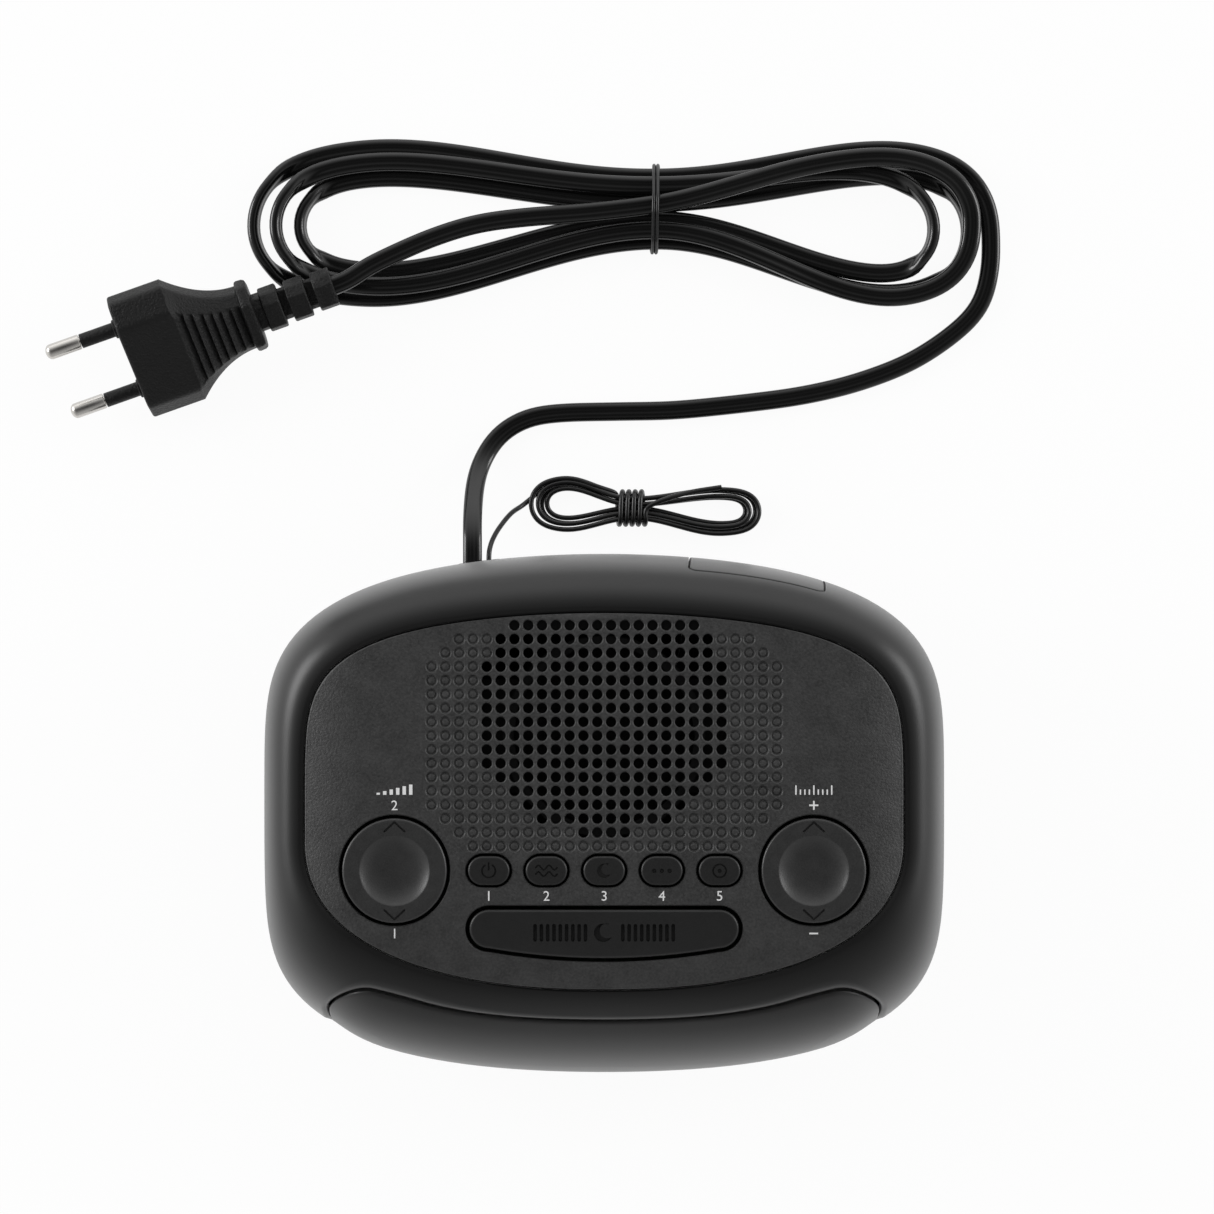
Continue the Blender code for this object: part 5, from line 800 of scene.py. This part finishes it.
def sunk(outline, flare=0.25, deep=50.0):
    """A cutter for a key opening whose upper edge is eased."""
    grown = inset(outline, -flare - 0.1)
    face, rim = panel_z(*outline.T), panel_z(*grown.T)
    return skinned([cols(*o.T, z) for o, z in (
        (outline, deep), (outline, face - flare), (grown, rim + 0.1), (grown, TOP + 3))])


def button_centre(i):
    return ((i - 2) * BUTTON_PITCH, KEY_Y)


def build_panel():
    """Control panel: crowned plate with key openings and the perforated grille."""
    flat = (PANEL_HALF - FLAT_MARGIN[0] - 0.4, PANEL_REAR - FLAT_MARGIN[2] - PANEL_WIDEST - 0.1,
            PANEL_WIDEST - PANEL_FRONT - FLAT_MARGIN[1] - 0.2)
    core = np.array(oval(ANGLES, *flat, PANEL_CORNERS, (PANEL_BOW, 0.0))) + np.array([[0.0], [PANEL_WIDEST]])
    rim = np.array(panel_plan(ANGLES))
    rings = []
    for share in np.linspace(0, 0.965, 34):
        x, y = core + (rim - core) * share
        rings.append(cols(x, y, panel_z(x, y)))
    edge = panel_z(*rim)
    for turn in np.linspace(0, QUARTER, 6):
        rings.append(cols(*panel_plan(ANGLES, 0.5 - 0.5 * math.sin(turn)), edge - 0.02 - 0.48 * (1 - math.cos(turn))))
    rings += [cols(*panel_plan(ANGLES, inside), edge - PANEL_THICK) for inside in (0.0, 6.0)]
    rings.append(cols(*core, TOP - PANEL_THICK))
    openings = [ring(ROCKER_RADIUS + ROCKER_GAP, 96, (side * ROCKER_X, KEY_Y)) for side in (-1, 1)]
    openings += [stadium(BUTTON_HALF + BUTTON_GAP, BUTTON_RADIUS + BUTTON_GAP, button_centre(i)) for i in range(5)]
    openings.append(stadium(BAR_HALF + BAR_GAP, BAR_RADIUS + BAR_GAP, (0.0, BAR_Y), BAR_BULGE, 40))
    plate = carved(skinned(rings), merged(*(sunk(outline) for outline in openings)))

    columns = [(column + 0.5, -row, 0.0, abs(column + 0.5) < GRILLE_THROUGH[row])
               for row, half in enumerate(GRILLE_ALL) for column in range(-half, half)]
    places = bpy.data.meshes.new("grille_places")
    places.from_pydata([entry[:3] for entry in columns], [], [])
    through = places.attributes.new("through", "BOOLEAN", "POINT")
    through.data.foreach_set("value", [entry[3] for entry in columns])
    plate = PERFORATE.run(plate, Pitch=GRILLE_PITCH * MM, Row=GRILLE_REAR * MM, Face=TOP * MM, Places=places,
                          Hole=turned(HOLE, 20), Dimple=turned(DIMPLE, 20), Finish=PANEL_BLACK.material)
    piece("grille_panel", plate, PANEL_BLACK, "case", "control_panel", slot="panel_plastic", sharp=28.0)


def capped_key(outline, low, soft=0.55):
    """A key cap over an outline: straight sides, a rounded upper edge, a top that follows the panel."""
    rings = [cols(*outline.T, low)]
    steps = [(soft * (1 - math.cos(turn)), soft * (1 - math.sin(turn))) for turn in np.linspace(0, QUARTER, 6)]
    for drawn, drop in (*steps, (0.9, 0.0), (1.8, 0.0), (2.7, 0.0)):
        x, y = inset(outline, drawn).T
        rings.append(cols(x, y, panel_z(x, y) + KEY_PROUD - drop))
    return skinned(rings)


def stroke(points, width, low, high, closed=False):
    """A line of even width with round ends, as a prism to cut with."""
    points = np.asarray(points, float)
    along = np.roll(points, -1, 0) - np.roll(points, 1, 0) if closed else np.gradient(points, axis=0)
    along /= np.linalg.norm(along, axis=1)[:, None]
    side = cols(-along[:, 1], along[:, 0]) * width / 2
    if closed:
        inner, outer = (points + side).T, (points - side).T
        walls = (inner, low), (inner, high), (outer, high), (outer, low)
        return skinned([cols(*outline, z) for outline, z in walls], joined=True)
    ends = []
    for end, run in ((points[-1], along[-1]), (points[0], -along[0])):
        normal = np.array((-run[1], run[0]))
        ends.append([end + (run * math.cos(turn) + normal * math.sin(turn)) * width / 2
                     for turn in np.linspace(QUARTER, -QUARTER, 7)[1:-1]])
    return prism(np.vstack((points + side, ends[0], (points - side)[::-1], ends[1])), low, high)


def crescent(centre, radius, low, high):
    inner = (centre[0] + radius * 0.42, centre[1] + radius * 0.22)
    return prism(np.vstack((arc(centre, radius, 60, 330, 36), arc(inner, radius * 0.82, 318, 72, 30))), low, high)


def dot(centre, radius, low, high):
    return turned(((0, low), (radius, low), (radius, high), (0, high)), 24, centre)


def button_marks(centre, *span):
    """Engraved signs for the five buttons."""
    x, y = centre
    wave = np.linspace(-2.6, 2.6, 40)
    return {
        "power": [stroke(arc(centre, 1.65, 125, 415), 0.42, *span),
                  stroke([(x, y + 0.3), (x, y + 1.1), (x, y + 1.9)], 0.42, *span)],
        "band": [stroke(cols(x + wave, y + lift + 0.55 * np.sin(wave * 2.4)), 0.4, *span) for lift in (-0.8, 0.8)],
        "sleep": [crescent(centre, 1.75, *span)],
        "memory": [dot((x + d, y), 0.55, *span) for d in (-1.9, 0.0, 1.9)],
        "set": [stroke(arc(centre, 1.6, 0, 351, 40), 0.42, *span, True), dot(centre, 0.5, *span)],
    }


def build_keys():
    """Five push buttons, the long bar and the two rockers, each with its engraved sign."""
    for i, name in enumerate(BUTTONS):
        cap = capped_key(stadium(BUTTON_HALF, BUTTON_RADIUS, button_centre(i)), TOP - 5.0)
        for mark in button_marks(button_centre(i), TOP + KEY_PROUD - 0.4, TOP + 2.0)[name]:
            cap = carved(cap, mark)
        piece(name + "_key", cap, KEY_BLACK, name + "_button", name + "_button", slot="key_plastic")

    bar = capped_key(stadium(BAR_HALF, BAR_RADIUS, (0.0, BAR_Y), BAR_BULGE, 40), TOP - 6.0, 0.7)
    level = float(panel_z(0.0, BAR_Y - 1.0)) + KEY_PROUD
    span = level - GROOVE_DEPTH, level + 2.0
    grooves = [(side * (GROOVE_FIRST + GROOVE_PITCH * i), BAR_SIGN_Y, 0.0) for side in (-1, 1) for i in range(GROOVES)]
    groove = prism(stadium(2.2, 0.45, (0.0, 0.0), steps=8), *span)
    bar = carved(bar, set_out(grooves, groove, KEY_BLACK, (0.0, 0.0, QUARTER)))
    bar = carved(bar, crescent((-0.2, BAR_SIGN_Y), 2.3, *span))
    piece("long_bar", bar, KEY_BLACK, "snooze_bar", "snooze_bar", slot="key_plastic")

    radius = np.linspace(0, DISH_RADIUS, 30)
    profile = list(zip(radius, -0.05 - DISH_DEPTH * (1 - (radius / DISH_RADIUS) ** DISH_POWER)))
    profile += [(8.7, -0.015), (8.85, 0.0), (10.5, 0.0), (12.0, 0.0)]
    inner = ROCKER_RADIUS - ROCKER_FILLET
    profile += [(inner + ROCKER_FILLET * math.sin(turn), ROCKER_FILLET * math.cos(turn) - ROCKER_FILLET)
                for turn in np.linspace(0.2, QUARTER, 6)]
    profile = [(r, ROCKER_TOP + z) for r, z in (*profile, (ROCKER_RADIUS, -ROCKER_SIDE), (0, -ROCKER_SIDE))]
    span = ROCKER_TOP - CHEVRON_DEPTH, ROCKER_TOP + 1.0
    for name, x in (("volume", -ROCKER_X), ("tuning", ROCKER_X)):
        cap = turned(profile, 96, (x, KEY_Y))
        for up in (-1, 1):
            for leg in (-1, 1):
                ends = np.array((CHEVRON_TIP, CHEVRON_END)) * (leg, up) + (x, KEY_Y)
                cap = carved(cap, stroke(np.linspace(*ends, 4), CHEVRON_WIDTH, *span))
        piece(name + "_dial", cap, DIAL_BLACK, name + "_rocker", name + "_rocker", slot="key_plastic")


def glyph(text, centre):
    """A figure as a flat mesh about a centre, in millimetres."""
    curve = bpy.data.curves.new(text, "FONT")
    curve.body = text
    curve.resolution_u = 6
    mesh = baked(linked(bpy.data.objects.new(text, curve)))
    points = np.array([v.co for v in mesh.vertices])
    low, high = points.min(0), points.max(0)
    middle = (low + high) / 2
    return moved(mesh, Matrix.Translation((-middle[0], -middle[1], 0)),
                 Matrix.Scale(NUMBER_HEIGHT / (high[1] - low[1]) * MM, 4),
                 Matrix.Translation((centre[0] * MM, centre[1] * MM, 0)))


def flat_shape(outline):
    return mesh_of(cols(*np.asarray(outline, float).T, 0.0), [list(range(len(outline)))])


def block(x, half, low, tall):
    return flat_shape([(x - half, low), (x + half, low), (x + half, low + tall), (x - half, low + tall)])


def build_marks():
    """Printed signs: numbers under the buttons, a rising wedge and a scale over the rockers."""
    marks = [glyph(str(i + 1), (button_centre(i)[0], KEY_Y - 6.2)) for i in range(5)]
    marks += [glyph("2", (-ROCKER_X, SIGN_REAR)), glyph("1", (-ROCKER_X, SIGN_FRONT))]
    marks += [block(-ROCKER_X - 4.0 + 1.6 * i, 0.42, SIGN_SCALE, 0.5 + 0.4 * i) for i in range(6)]
    marks += [block(ROCKER_X - 4.4 + 1.1 * i, 0.17, SIGN_SCALE, 1.3 if i % 4 else 2.3) for i in range(9)]
    plus = ((-1.1, -0.2), (-0.2, -0.2), (-0.2, -1.1), (0.2, -1.1), (0.2, -0.2), (1.1, -0.2), (1.1, 0.2), (0.2, 0.2),
            (0.2, 1.1), (-0.2, 1.1), (-0.2, 0.2), (-1.1, 0.2))
    marks += [flat_shape(np.array(plus) + (ROCKER_X, SIGN_REAR)), block(ROCKER_X, 1.1, SIGN_FRONT - 0.2, 0.4)]
    sheet = merged(*marks)
    with edited(sheet) as bm:
        merge_doubles(bm)
        bmesh.ops.triangulate(bm, faces=bm.faces)
        bm.verts.index_update()
        flat = np.array([vert.co[:2] for vert in bm.verts]) / MM
        faces = [[vert.index for vert in face.verts] for face in bm.faces]
        rims = [[vert.index for vert in edge.verts] for edge in bm.edges if edge.is_boundary]
    count, level = len(flat), panel_z(*flat.T)
    points = [cols(*flat.T, level + lift) for lift in (-INK_LIFT, INK_LIFT)]
    faces += [[i + count for i in face] for face in faces] + [[a, b, b + count, a + count] for a, b in rims]
    piece("printed_signs", mesh_of(points, faces), INK, "case", slot="panel_plastic")


# Leads

def knots(place, pairs):
    """A value that eases from one knot to the next."""
    at, values = zip(*pairs)
    span = np.interp(place, at, np.arange(len(at)))
    share = span % 1.0
    return np.interp(np.floor(span) + share ** 2 * (3 - 2 * share), np.arange(len(at)), values)


def smooth_path(points):
    """A dense spline through points."""
    points = np.asarray(points, float)
    points = np.vstack((2 * points[0] - points[1], points, 2 * points[-1] - points[-2]))
    t = np.linspace(0, 1, 24, endpoint=False)[:, None]
    spans = [0.5 * (2 * b + (c - a) * t + (2 * a - 5 * b + 4 * c - d) * t ** 2 + (3 * b - a - 3 * c + d) * t ** 3)
             for a, b, c, d in zip(points, points[1:], points[2:], points[3:])]
    return np.vstack((*spans, points[-2:-1]))


def distance_along(path):
    return np.concatenate(([0.0], np.cumsum(np.linalg.norm(np.diff(path, axis=0), axis=1))))


def even_path(path, step, soften=0):
    """A path resampled at even steps, with its corners softened."""
    along = distance_along(path)
    wanted = np.linspace(0, along[-1], int(along[-1] / step) + 1)
    path = cols(*(np.interp(wanted, along, path[:, axis]) for axis in range(3)))
    for _ in range(soften):
        path[1:-1] = path[1:-1] * 0.5 + (path[:-2] + path[2:]) * 0.25
    return path


def ahead(end, before, distance):
    run = np.asarray(end) - np.asarray(before)
    return np.asarray(end) + run / np.linalg.norm(run) * distance


def tube_rings(path, section, roll=0.0):
    """A section carried along a path with its flat side up, rolled by an angle at each point."""
    run = np.gradient(path, axis=0)
    run /= np.linalg.norm(run, axis=1)[:, None]
    across = np.cross(run, (0.0, 0.0, 1.0))
    across /= np.linalg.norm(across, axis=1)[:, None]
    up = np.cross(across, run)
    c, s = (np.broadcast_to(f(roll), len(path))[:, None] for f in (np.cos, np.sin))
    across, up = across * c + up * s, up * c - across * s
    return path[:, None] + across[:, None] * section[None, :, :1] + up[:, None] * section[None, :, 1:]


def tube(path, section, roll=0.0):
    """A closed tube with a UV map that runs round it and, in centimetres, along it."""
    mesh = skinned(tube_rings(path, section, roll))
    count = len(section)
    index = np.empty(len(mesh.loops), np.int32)
    mesh.loops.foreach_get("vertex_index", index)
    around = np.abs(2 * (index % count) / count - 1)
    uv = cols(around, distance_along(path)[index // count] / 10)
    mesh.uv_layers.new(name="run").data.foreach_set("uv", uv.astype(np.float32).ravel())
    return mesh


def cord_section(count=32):
    """Flat twin cord: two round conductors' sides with a shallow groove between them."""
    c, s = ring(1.0, count).T
    scale = (np.abs(c) ** 2.7 + np.abs(s) ** 2.7) ** (-1 / 2.7)
    x, y = CORD_WIDTH / 2 * c * scale, CORD_THICK / 2 * s * scale
    return cols(x, y * (1 - 0.16 * np.exp(-(x / 0.6) ** 2)))


def round_the_hank(count):
    """Directions in the YZ plane, from straight down towards the front."""
    turn = -math.tau * np.arange(count) / count - QUARTER
    return cols(np.cos(turn), np.sin(turn))


def hull_loop(points, clear, count):
    """A loop that lies close round points in the YZ plane."""
    normals = round_the_hank(count)
    return points[np.argmax(normals @ points.T, 1)] + normals * clear


def round_loop(points, clear, count):
    """A loop with round ends about points in the YZ plane."""
    normals = round_the_hank(count)
    low, high = points.min(0) - clear, points.max(0) + clear
    radius = (high - low)[1] / 2
    run = np.sign(normals[:, 0].round(6)) * ((high - low)[0] / 2 - radius)
    return (low + high) / 2 + normals * radius + cols(run, 0.0)


def strands(path, section, x, near):
    close = np.abs(path[:, 0] - x) < near
    return tube_rings(path, section)[close].reshape(-1, 3)[:, 1:]


def folded(c, s, reach, lobe, waist, spans):
    """Shares of the lobes and heights of a hank's runs: from its waist to its lobes and round its folds."""
    spread = np.sin(np.minimum(1, np.abs(reach * c) / np.where(c > 0, *spans)) * QUARTER) ** 2
    blunt = np.sqrt(1 - np.abs(c) ** (FOLD_BLUNTNESS * reach / lobe))
    return spread, (waist + (lobe - waist) * spread) * np.copysign(blunt, s)


def hank_path():
    """Mains hank: two loops spiral in on the table, the third climbs and lies on top of them."""
    turn = np.linspace(0, 3, 721)
    c, s = np.cos(math.tau * turn), np.sin(math.tau * turn)
    reach = knots(turn, ((0, 87.4), (0.5, 104.6), (1, 81.4), (1.5, 92.6), (2, 72.5), (2.5, 98.6), (3, 82.2)))
    lobe = knots(turn, ((0, 22.0), (1.75, 12.0), (1.98, 11.8), (2.2, 17.4), (2.6, 16.4), (2.8, 18.4), (3, 18.2)))
    waist = knots(turn, ((0, 10.0), (1.75, 1.35), (2.2, 7.2), (2.75, 4.2), (3, 4.2)))
    layer = knots(turn, ((0, 0), (1.84, 0), (2.06, 1), (3, 1)))
    spread, height = folded(c, s, reach, lobe, waist, (66.0, 76.0))
    sink = 1.6 + np.where(c > 0, 4.2, 2.9) * spread
    x = reach * c
    z = 1.75 + 3.55 * layer + 1.55 * np.exp(-(x / 22) ** 2)
    return cols(HANK_CENTRE[0] + x, HANK_CENTRE[1] + height - sink, z)


def aerial_path():
    """Aerial hank: two loops spiral in, two more spiral out above them, and the end runs back to the waist."""
    turn = np.linspace(0.05, 4.192, 640)
    c, s = np.cos(math.pi - math.tau * turn), np.sin(math.pi - math.tau * turn)
    layer = knots(turn, ((0, 0), (1.8, 0), (2.2, 1), (4, 1)))
    inward = knots(turn, ((0, 0), (2, 2), (4, 0))) - 0.5 * layer
    reach = np.where(c > 0, 32.6, 25.6) - 1.8 * inward
    lobe, waist = np.where(c > 0, 5.6, 6.3) - 1.3 * inward, 1.15 * (2.02 - inward)
    spread, height = folded(c, s, reach, lobe, waist, (23.5, 18.5))
    height = height + 0.9 * spread * np.where(c > 0, -1, 1)
    x = reach * c
    z = 0.85 + 1.9 * layer + 2.35 * np.exp(-(x / 11) ** 2)
    return cols(AERIAL_CENTRE[0] + x, AERIAL_CENTRE[1] + height, z)


def declare_cord(mesh, finish, name, nodes, pieces):
    obj = piece(name, mesh, finish, "case", *nodes, slot="pvc", sharp=60.0)


def build_mains():
    """Mains cord from the bush through its hank to the plug, with its wire tie."""
    hank = hank_path()
    lead = smooth_path([*LEAD_ROUTE, ahead(hank[0], hank[1], CORD_WIDTH)])
    ends = [np.array(PLUG_PLACE @ Vector(((PLUG_LENGTH + run) * MM, 0.0, 0.0))) / MM
            for run in (CORD_WIDTH, -CORD_IN_PLUG)]
    tail = smooth_path([ahead(hank[-1], hank[-2], CORD_WIDTH), *TAIL_ROUTE, ends[0]])
    path = even_path(np.vstack((LEAD_START, lead, hank, tail, ends[1])), CORD_STEP, 6)
    section = cord_section()
    first, run = (distance_along(part)[-1] for part in (lead, hank))
    along = distance_along(path)
    in_hank = np.clip((np.minimum(along - first, first + run - along) - FLAT_ENDS) / TURNING_RUN, 0, 1)
    heading = np.gradient(path, axis=0)
    bend = np.clip((np.abs(heading[:, 1]) / np.linalg.norm(heading, axis=1) - BEND_START) / BEND_RUN, 0, 1)
    edgewise = in_hank * bend ** 2 * (3 - 2 * bend)
    path[:, 2] += EDGE_LIFT * edgewise
    bundle = even_path(np.vstack((hank, tail)), CORD_STEP)
    loop = hull_loop(strands(bundle, section, HANK_CENTRE[0], TIE_NEAR), TIE_CLEAR, TIE_POINTS)
    steps = np.arange(2 * TIE_POINTS + 1)
    tie = cols(HANK_CENTRE[0] + TIE_FIRST + TIE_PITCH * steps / TIE_POINTS, *loop[steps % TIE_POINTS].T)
    tie = tube(even_path(smooth_path(tie), TIE_STEP, 2), ring(TIE_RADIUS, 10))
    tie = piece("wire_tie", tie, TIE_WIRE, "case", "cord_tie", slot="steel", sharp=60.0)
    declare_cord(tube(path, section, math.radians(EDGE_ROLL) * edgewise), CORD, "mains_cord",
                 ("mains_lead", "mains_hank", "mains_tail"), [tie, *build_plug()])


def build_aerial():
    """Aerial wire from the bush to its hank, with its own end wrapped round the waist."""
    hank = aerial_path()
    lead = smooth_path([*AERIAL_ROUTE, ahead(hank[0], hank[1], AERIAL_DIAMETER)])
    section = ring(AERIAL_RADIUS, 14)
    waist = strands(even_path(hank, AERIAL_STEP), section, AERIAL_CENTRE[0], WRAP_NEAR)
    loop = round_loop(waist, WRAP_CLEAR, WRAP_POINTS)
    steps = np.arange(*WRAP_STEPS)
    wrap = cols(AERIAL_CENTRE[0] + WRAP_FIRST + WRAP_PITCH * steps / WRAP_POINTS, *loop[steps % WRAP_POINTS].T)
    wrap = smooth_path(np.vstack((wrap, np.array(AERIAL_END) + (*AERIAL_CENTRE, 0.0))))
    path = even_path(np.vstack((AERIAL_START, lead, hank, wrap)), AERIAL_STEP, 5)
    declare_cord(tube(path, section), AERIAL, "aerial_lead", ("aerial_wire", "aerial_hank", "aerial_wrap"),
                 [])


# Plug

PLUG_PLACE = (Matrix.Translation(Vector(PLUG_FACE) * MM) @ Matrix.Rotation(math.radians(PLUG_HEADING), 4, "Z")
              @ Matrix.Rotation(math.radians(PLUG_ROLL), 4, "X"))


def soft_octagon(width, edge, flat, thick, counts=(8, 14, 28, 14)):
    """An eight-sided section given by half sizes, with even points on its sides and soft corners."""
    half = np.array(((width, edge), (flat, thick), (-flat, thick), (-width, edge)))
    corners = np.vstack((half, -half))
    points = []
    for i, corner in enumerate(corners):
        after = corners[(i + 1) % 8]
        points.append(corner + (after - corner) * np.linspace(0, 1, counts[(i + 1) % 4], endpoint=False)[:, None])
    points = np.vstack(points)
    for _ in range(2):
        points = points * 0.5 + (np.roll(points, 1, 0) + np.roll(points, -1, 0)) * 0.25
    return points


def plug_flat(width):
    """Half width of the plug's upper face where the plug has a half width."""
    return width - PLUG_BEVEL * min(1.0, width / PLUG_WIDE * 1.15)


def plug_section(width, thick):
    return soft_octagon(width, PLUG_EDGE * thick / PLUG_THICK, plug_flat(width), thick)


def relief_section(wide, thick):
    w, t = RELIEF_WIDE * wide, RELIEF_THICK * thick
    return soft_octagon(w, 0.45 * t, 0.6 * w, t)


def build_plug():
    """Two-pin plug: ribbed and waisted grip, collar, slotted strain relief, pins in half sleeves."""
    rings = []
    for u in (0.0, 0.1, 0.25, 0.45, PLUG_NOSE):
        shrink = PLUG_NOSE - math.sqrt(PLUG_NOSE ** 2 - (PLUG_NOSE - u) ** 2)
        rings.append((u, plug_section(PLUG_WIDE - shrink, PLUG_THICK - shrink)))
    for u in np.arange(1.5, GRIP_END + 0.01, 0.25):
        share = max(0.0, (u - GRIP_START) / (GRIP_END - GRIP_START))
        width = GRIP_NARROW + (PLUG_WIDE - GRIP_NARROW) * (1 - share) ** 2
        thick = PLUG_THICK - GRIP_THINNER * share
        outline = plug_section(width, thick)
        if u > RIB_START:
            groove = RIB_DEPTH * ((u - RIB_START) / RIB_PITCH % 1.0)
            on_face = np.clip((plug_flat(width) + 0.9 - np.abs(outline[:, 0])) / 0.8, 0, 1)
            on_face *= np.abs(outline[:, 1]) > thick * 0.7
            outline[:, 1] -= np.sign(outline[:, 1]) * groove * on_face
        rings.append((u, outline))
    rings += [(u, plug_section(width, thick)) for u, width, thick in COLLAR]
    u = RELIEF_START
    for rib in range(3):
        taper, pitch = 1 - RELIEF_TAPER * rib, 7.0 if rib else 6.7
        slot = (0.84, 0.4) if rib else (0.86, 0.84)
        stations = ((0.0, *slot), (1.9, *slot), (2.0, 0.96, 0.95), (2.3, 1.0, 1.0), (pitch - 0.4, 1.0, 1.0),
                    (pitch - 0.1, 0.96, 0.95))
        rings += [(u + along, relief_section(a * taper, b * taper)) for along, a, b in stations]
        u += pitch
    body = skinned([cols(u * PLUG_LENGTH / PLUG_DRAWN, *outline.T) for u, outline in rings])
    made = [piece("plug_grip", moved(body, PLUG_PLACE), PLUG_BLACK, "case", "plug_body", slot="pvc", sharp=35.0)]
    places = [PLUG_PLACE @ Matrix.Translation((0, side * PIN_SIDE * MM, 0)) @ Matrix.Rotation(-QUARTER, 4, "Y")
              for side in (-1, 1)]
    tip = [(PIN_RADIUS * math.sin(turn), PIN_STRAIGHT + PIN_TIP * math.cos(turn))
           for turn in np.linspace(0, QUARTER, 8)]
    pin = (*tip, (PIN_RADIUS, 10.5), (1.9, 10.3), (1.2, 10.3), (1.2, 0.3), (0, 0.3))
    for name, profile, hollow, finish, node, slot in (
            ("plug_pins", pin, False, NICKEL, "plug_pin", "pin_metal"),
            ("pin_sleeves", SLEEVE, True, PLUG_BLACK, "plug_sleeve", "pvc")):
        both = merged(*(moved(turned(profile, 40, hollow=hollow), place) for place in places))
        made.append(piece(name, both, finish, "case", node + "_upper", node + "_lower", slot=slot))
    return made


# Model nodes that stay as they are

def dress_inside():
    switches = [name for name in NODES if name.startswith("switch_")]
    for finish, names in (
            (BOARD, ("key_board", "main_board", "display_board")), (SWITCH_BLACK, (*switches, "battery_snap")),
            (MODULE, ("display_module",)), (PAPER, ("speaker_cone",)), (PAINTED, ("speaker_basket", "speaker_clamp")),
            (FERRITE, ("speaker_magnet", "ferrite_rod")), (COPPER, ("ferrite_coil", "transformer_winding")),
            (SHEETS, ("transformer_core",)), (JACKET, ("backup_battery",)), (CASE_BLACK, ("battery_bay",))):
        for name in names:
            for held in NODES[name].material_slots:
                held.material = finish.material


# Stage

def staged(name, data):
    obj = linked(bpy.data.objects.new(name, data))
    return obj


def seen_rays(tree):
    """Values that are one for the rays of the camera, of reflections and of clear materials."""
    path = tree.node("ShaderNodeLightPath")
    return [path.of("Is " + kind + " Ray") for kind in ("Camera", "Glossy", "Transmission")]


def build_world():
    """Soft light from all round, strongest from the rear and weakest from straight above; white to the camera."""
    world = bpy.data.worlds.new("studio")
    world.use_nodes = True
    bpy.context.scene.world = world
    tree = Tree(world.node_tree)
    way = tree.node("ShaderNodeSeparateXYZ", {0: tree.node("ShaderNodeTexCoord", output="Generated")})
    rear, height = way.of("Y"), way.of("Z")
    light = (1 - height.most(0.0) ** 2) * (rear * 0.5 + 1.05) + 0.04
    camera_ray = seen_rays(tree)[0]
    background = world.node_tree.nodes["Background"].inputs
    tree.feed(background["Strength"], light * (1 - camera_ray) + camera_ray)
    tree.feed(background["Color"], grey(1.0))


def build_floor():
    """A white sheet that looks nearly white to the camera and keeps a faint shadow."""
    floor = bpy.data.meshes.new("floor")
    sides = ((-1, -1), (1, -1), (1, 1), (-1, 1))
    floor.from_pydata([(x * FLOOR_HALF, y * FLOOR_HALF, 0) for x, y in sides], [], [(0, 1, 2, 3)])
    paper = Finish("white_sheet", Base_Color=grey(0.95), Roughness=0.9, Specular_IOR_Level=0.0)
    camera_ray, glossy, clear = seen_rays(paper)
    glow = paper.node("ShaderNodeEmission", {"Color": grey(1.0), "Strength": 1.0})
    share = camera_ray.most(glossy).most(clear) * FLOOR_GLOW
    mixed = paper.node("ShaderNodeMixShader", {0: share, 1: Wire(paper, paper.shader.outputs[0]), 2: glow})
    paper.feed(paper.tree.nodes["Material Output"].inputs["Surface"], mixed)
    floor.materials.append(paper.material)
    staged("floor", floor)


def build_stage():
    """World, floor, two low softboxes and the camera straight above."""
    scene = bpy.context.scene
    scene.view_settings.view_transform = "Standard"
    build_world()
    build_floor()
    for name, side, power in SOFTBOXES:
        lamp = bpy.data.lights.new(name, "AREA")
        lamp.energy, lamp.size = power, SOFTBOX_SIZE
        obj = staged(name, lamp)
        obj.location = (side, SOFTBOX_REAR, SOFTBOX_HEIGHT)
        obj.rotation_euler = (Vector(LIGHT_AIM) - obj.location).to_track_quat("-Z", "Y").to_euler()
    view = bpy.data.cameras.new("view")
    view.sensor_width, view.lens = SENSOR, FOCAL_PIXELS / PICTURE_PIXELS * SENSOR
    camera = staged("view", view)
    camera.location = CAMERA_PLACE
    scene.camera = camera


build_housing()
build_base()
build_lens()
build_door()
build_bush()
build_panel()
build_keys()
build_marks()
build_mains()
build_aerial()
dress_inside()
build_stage()
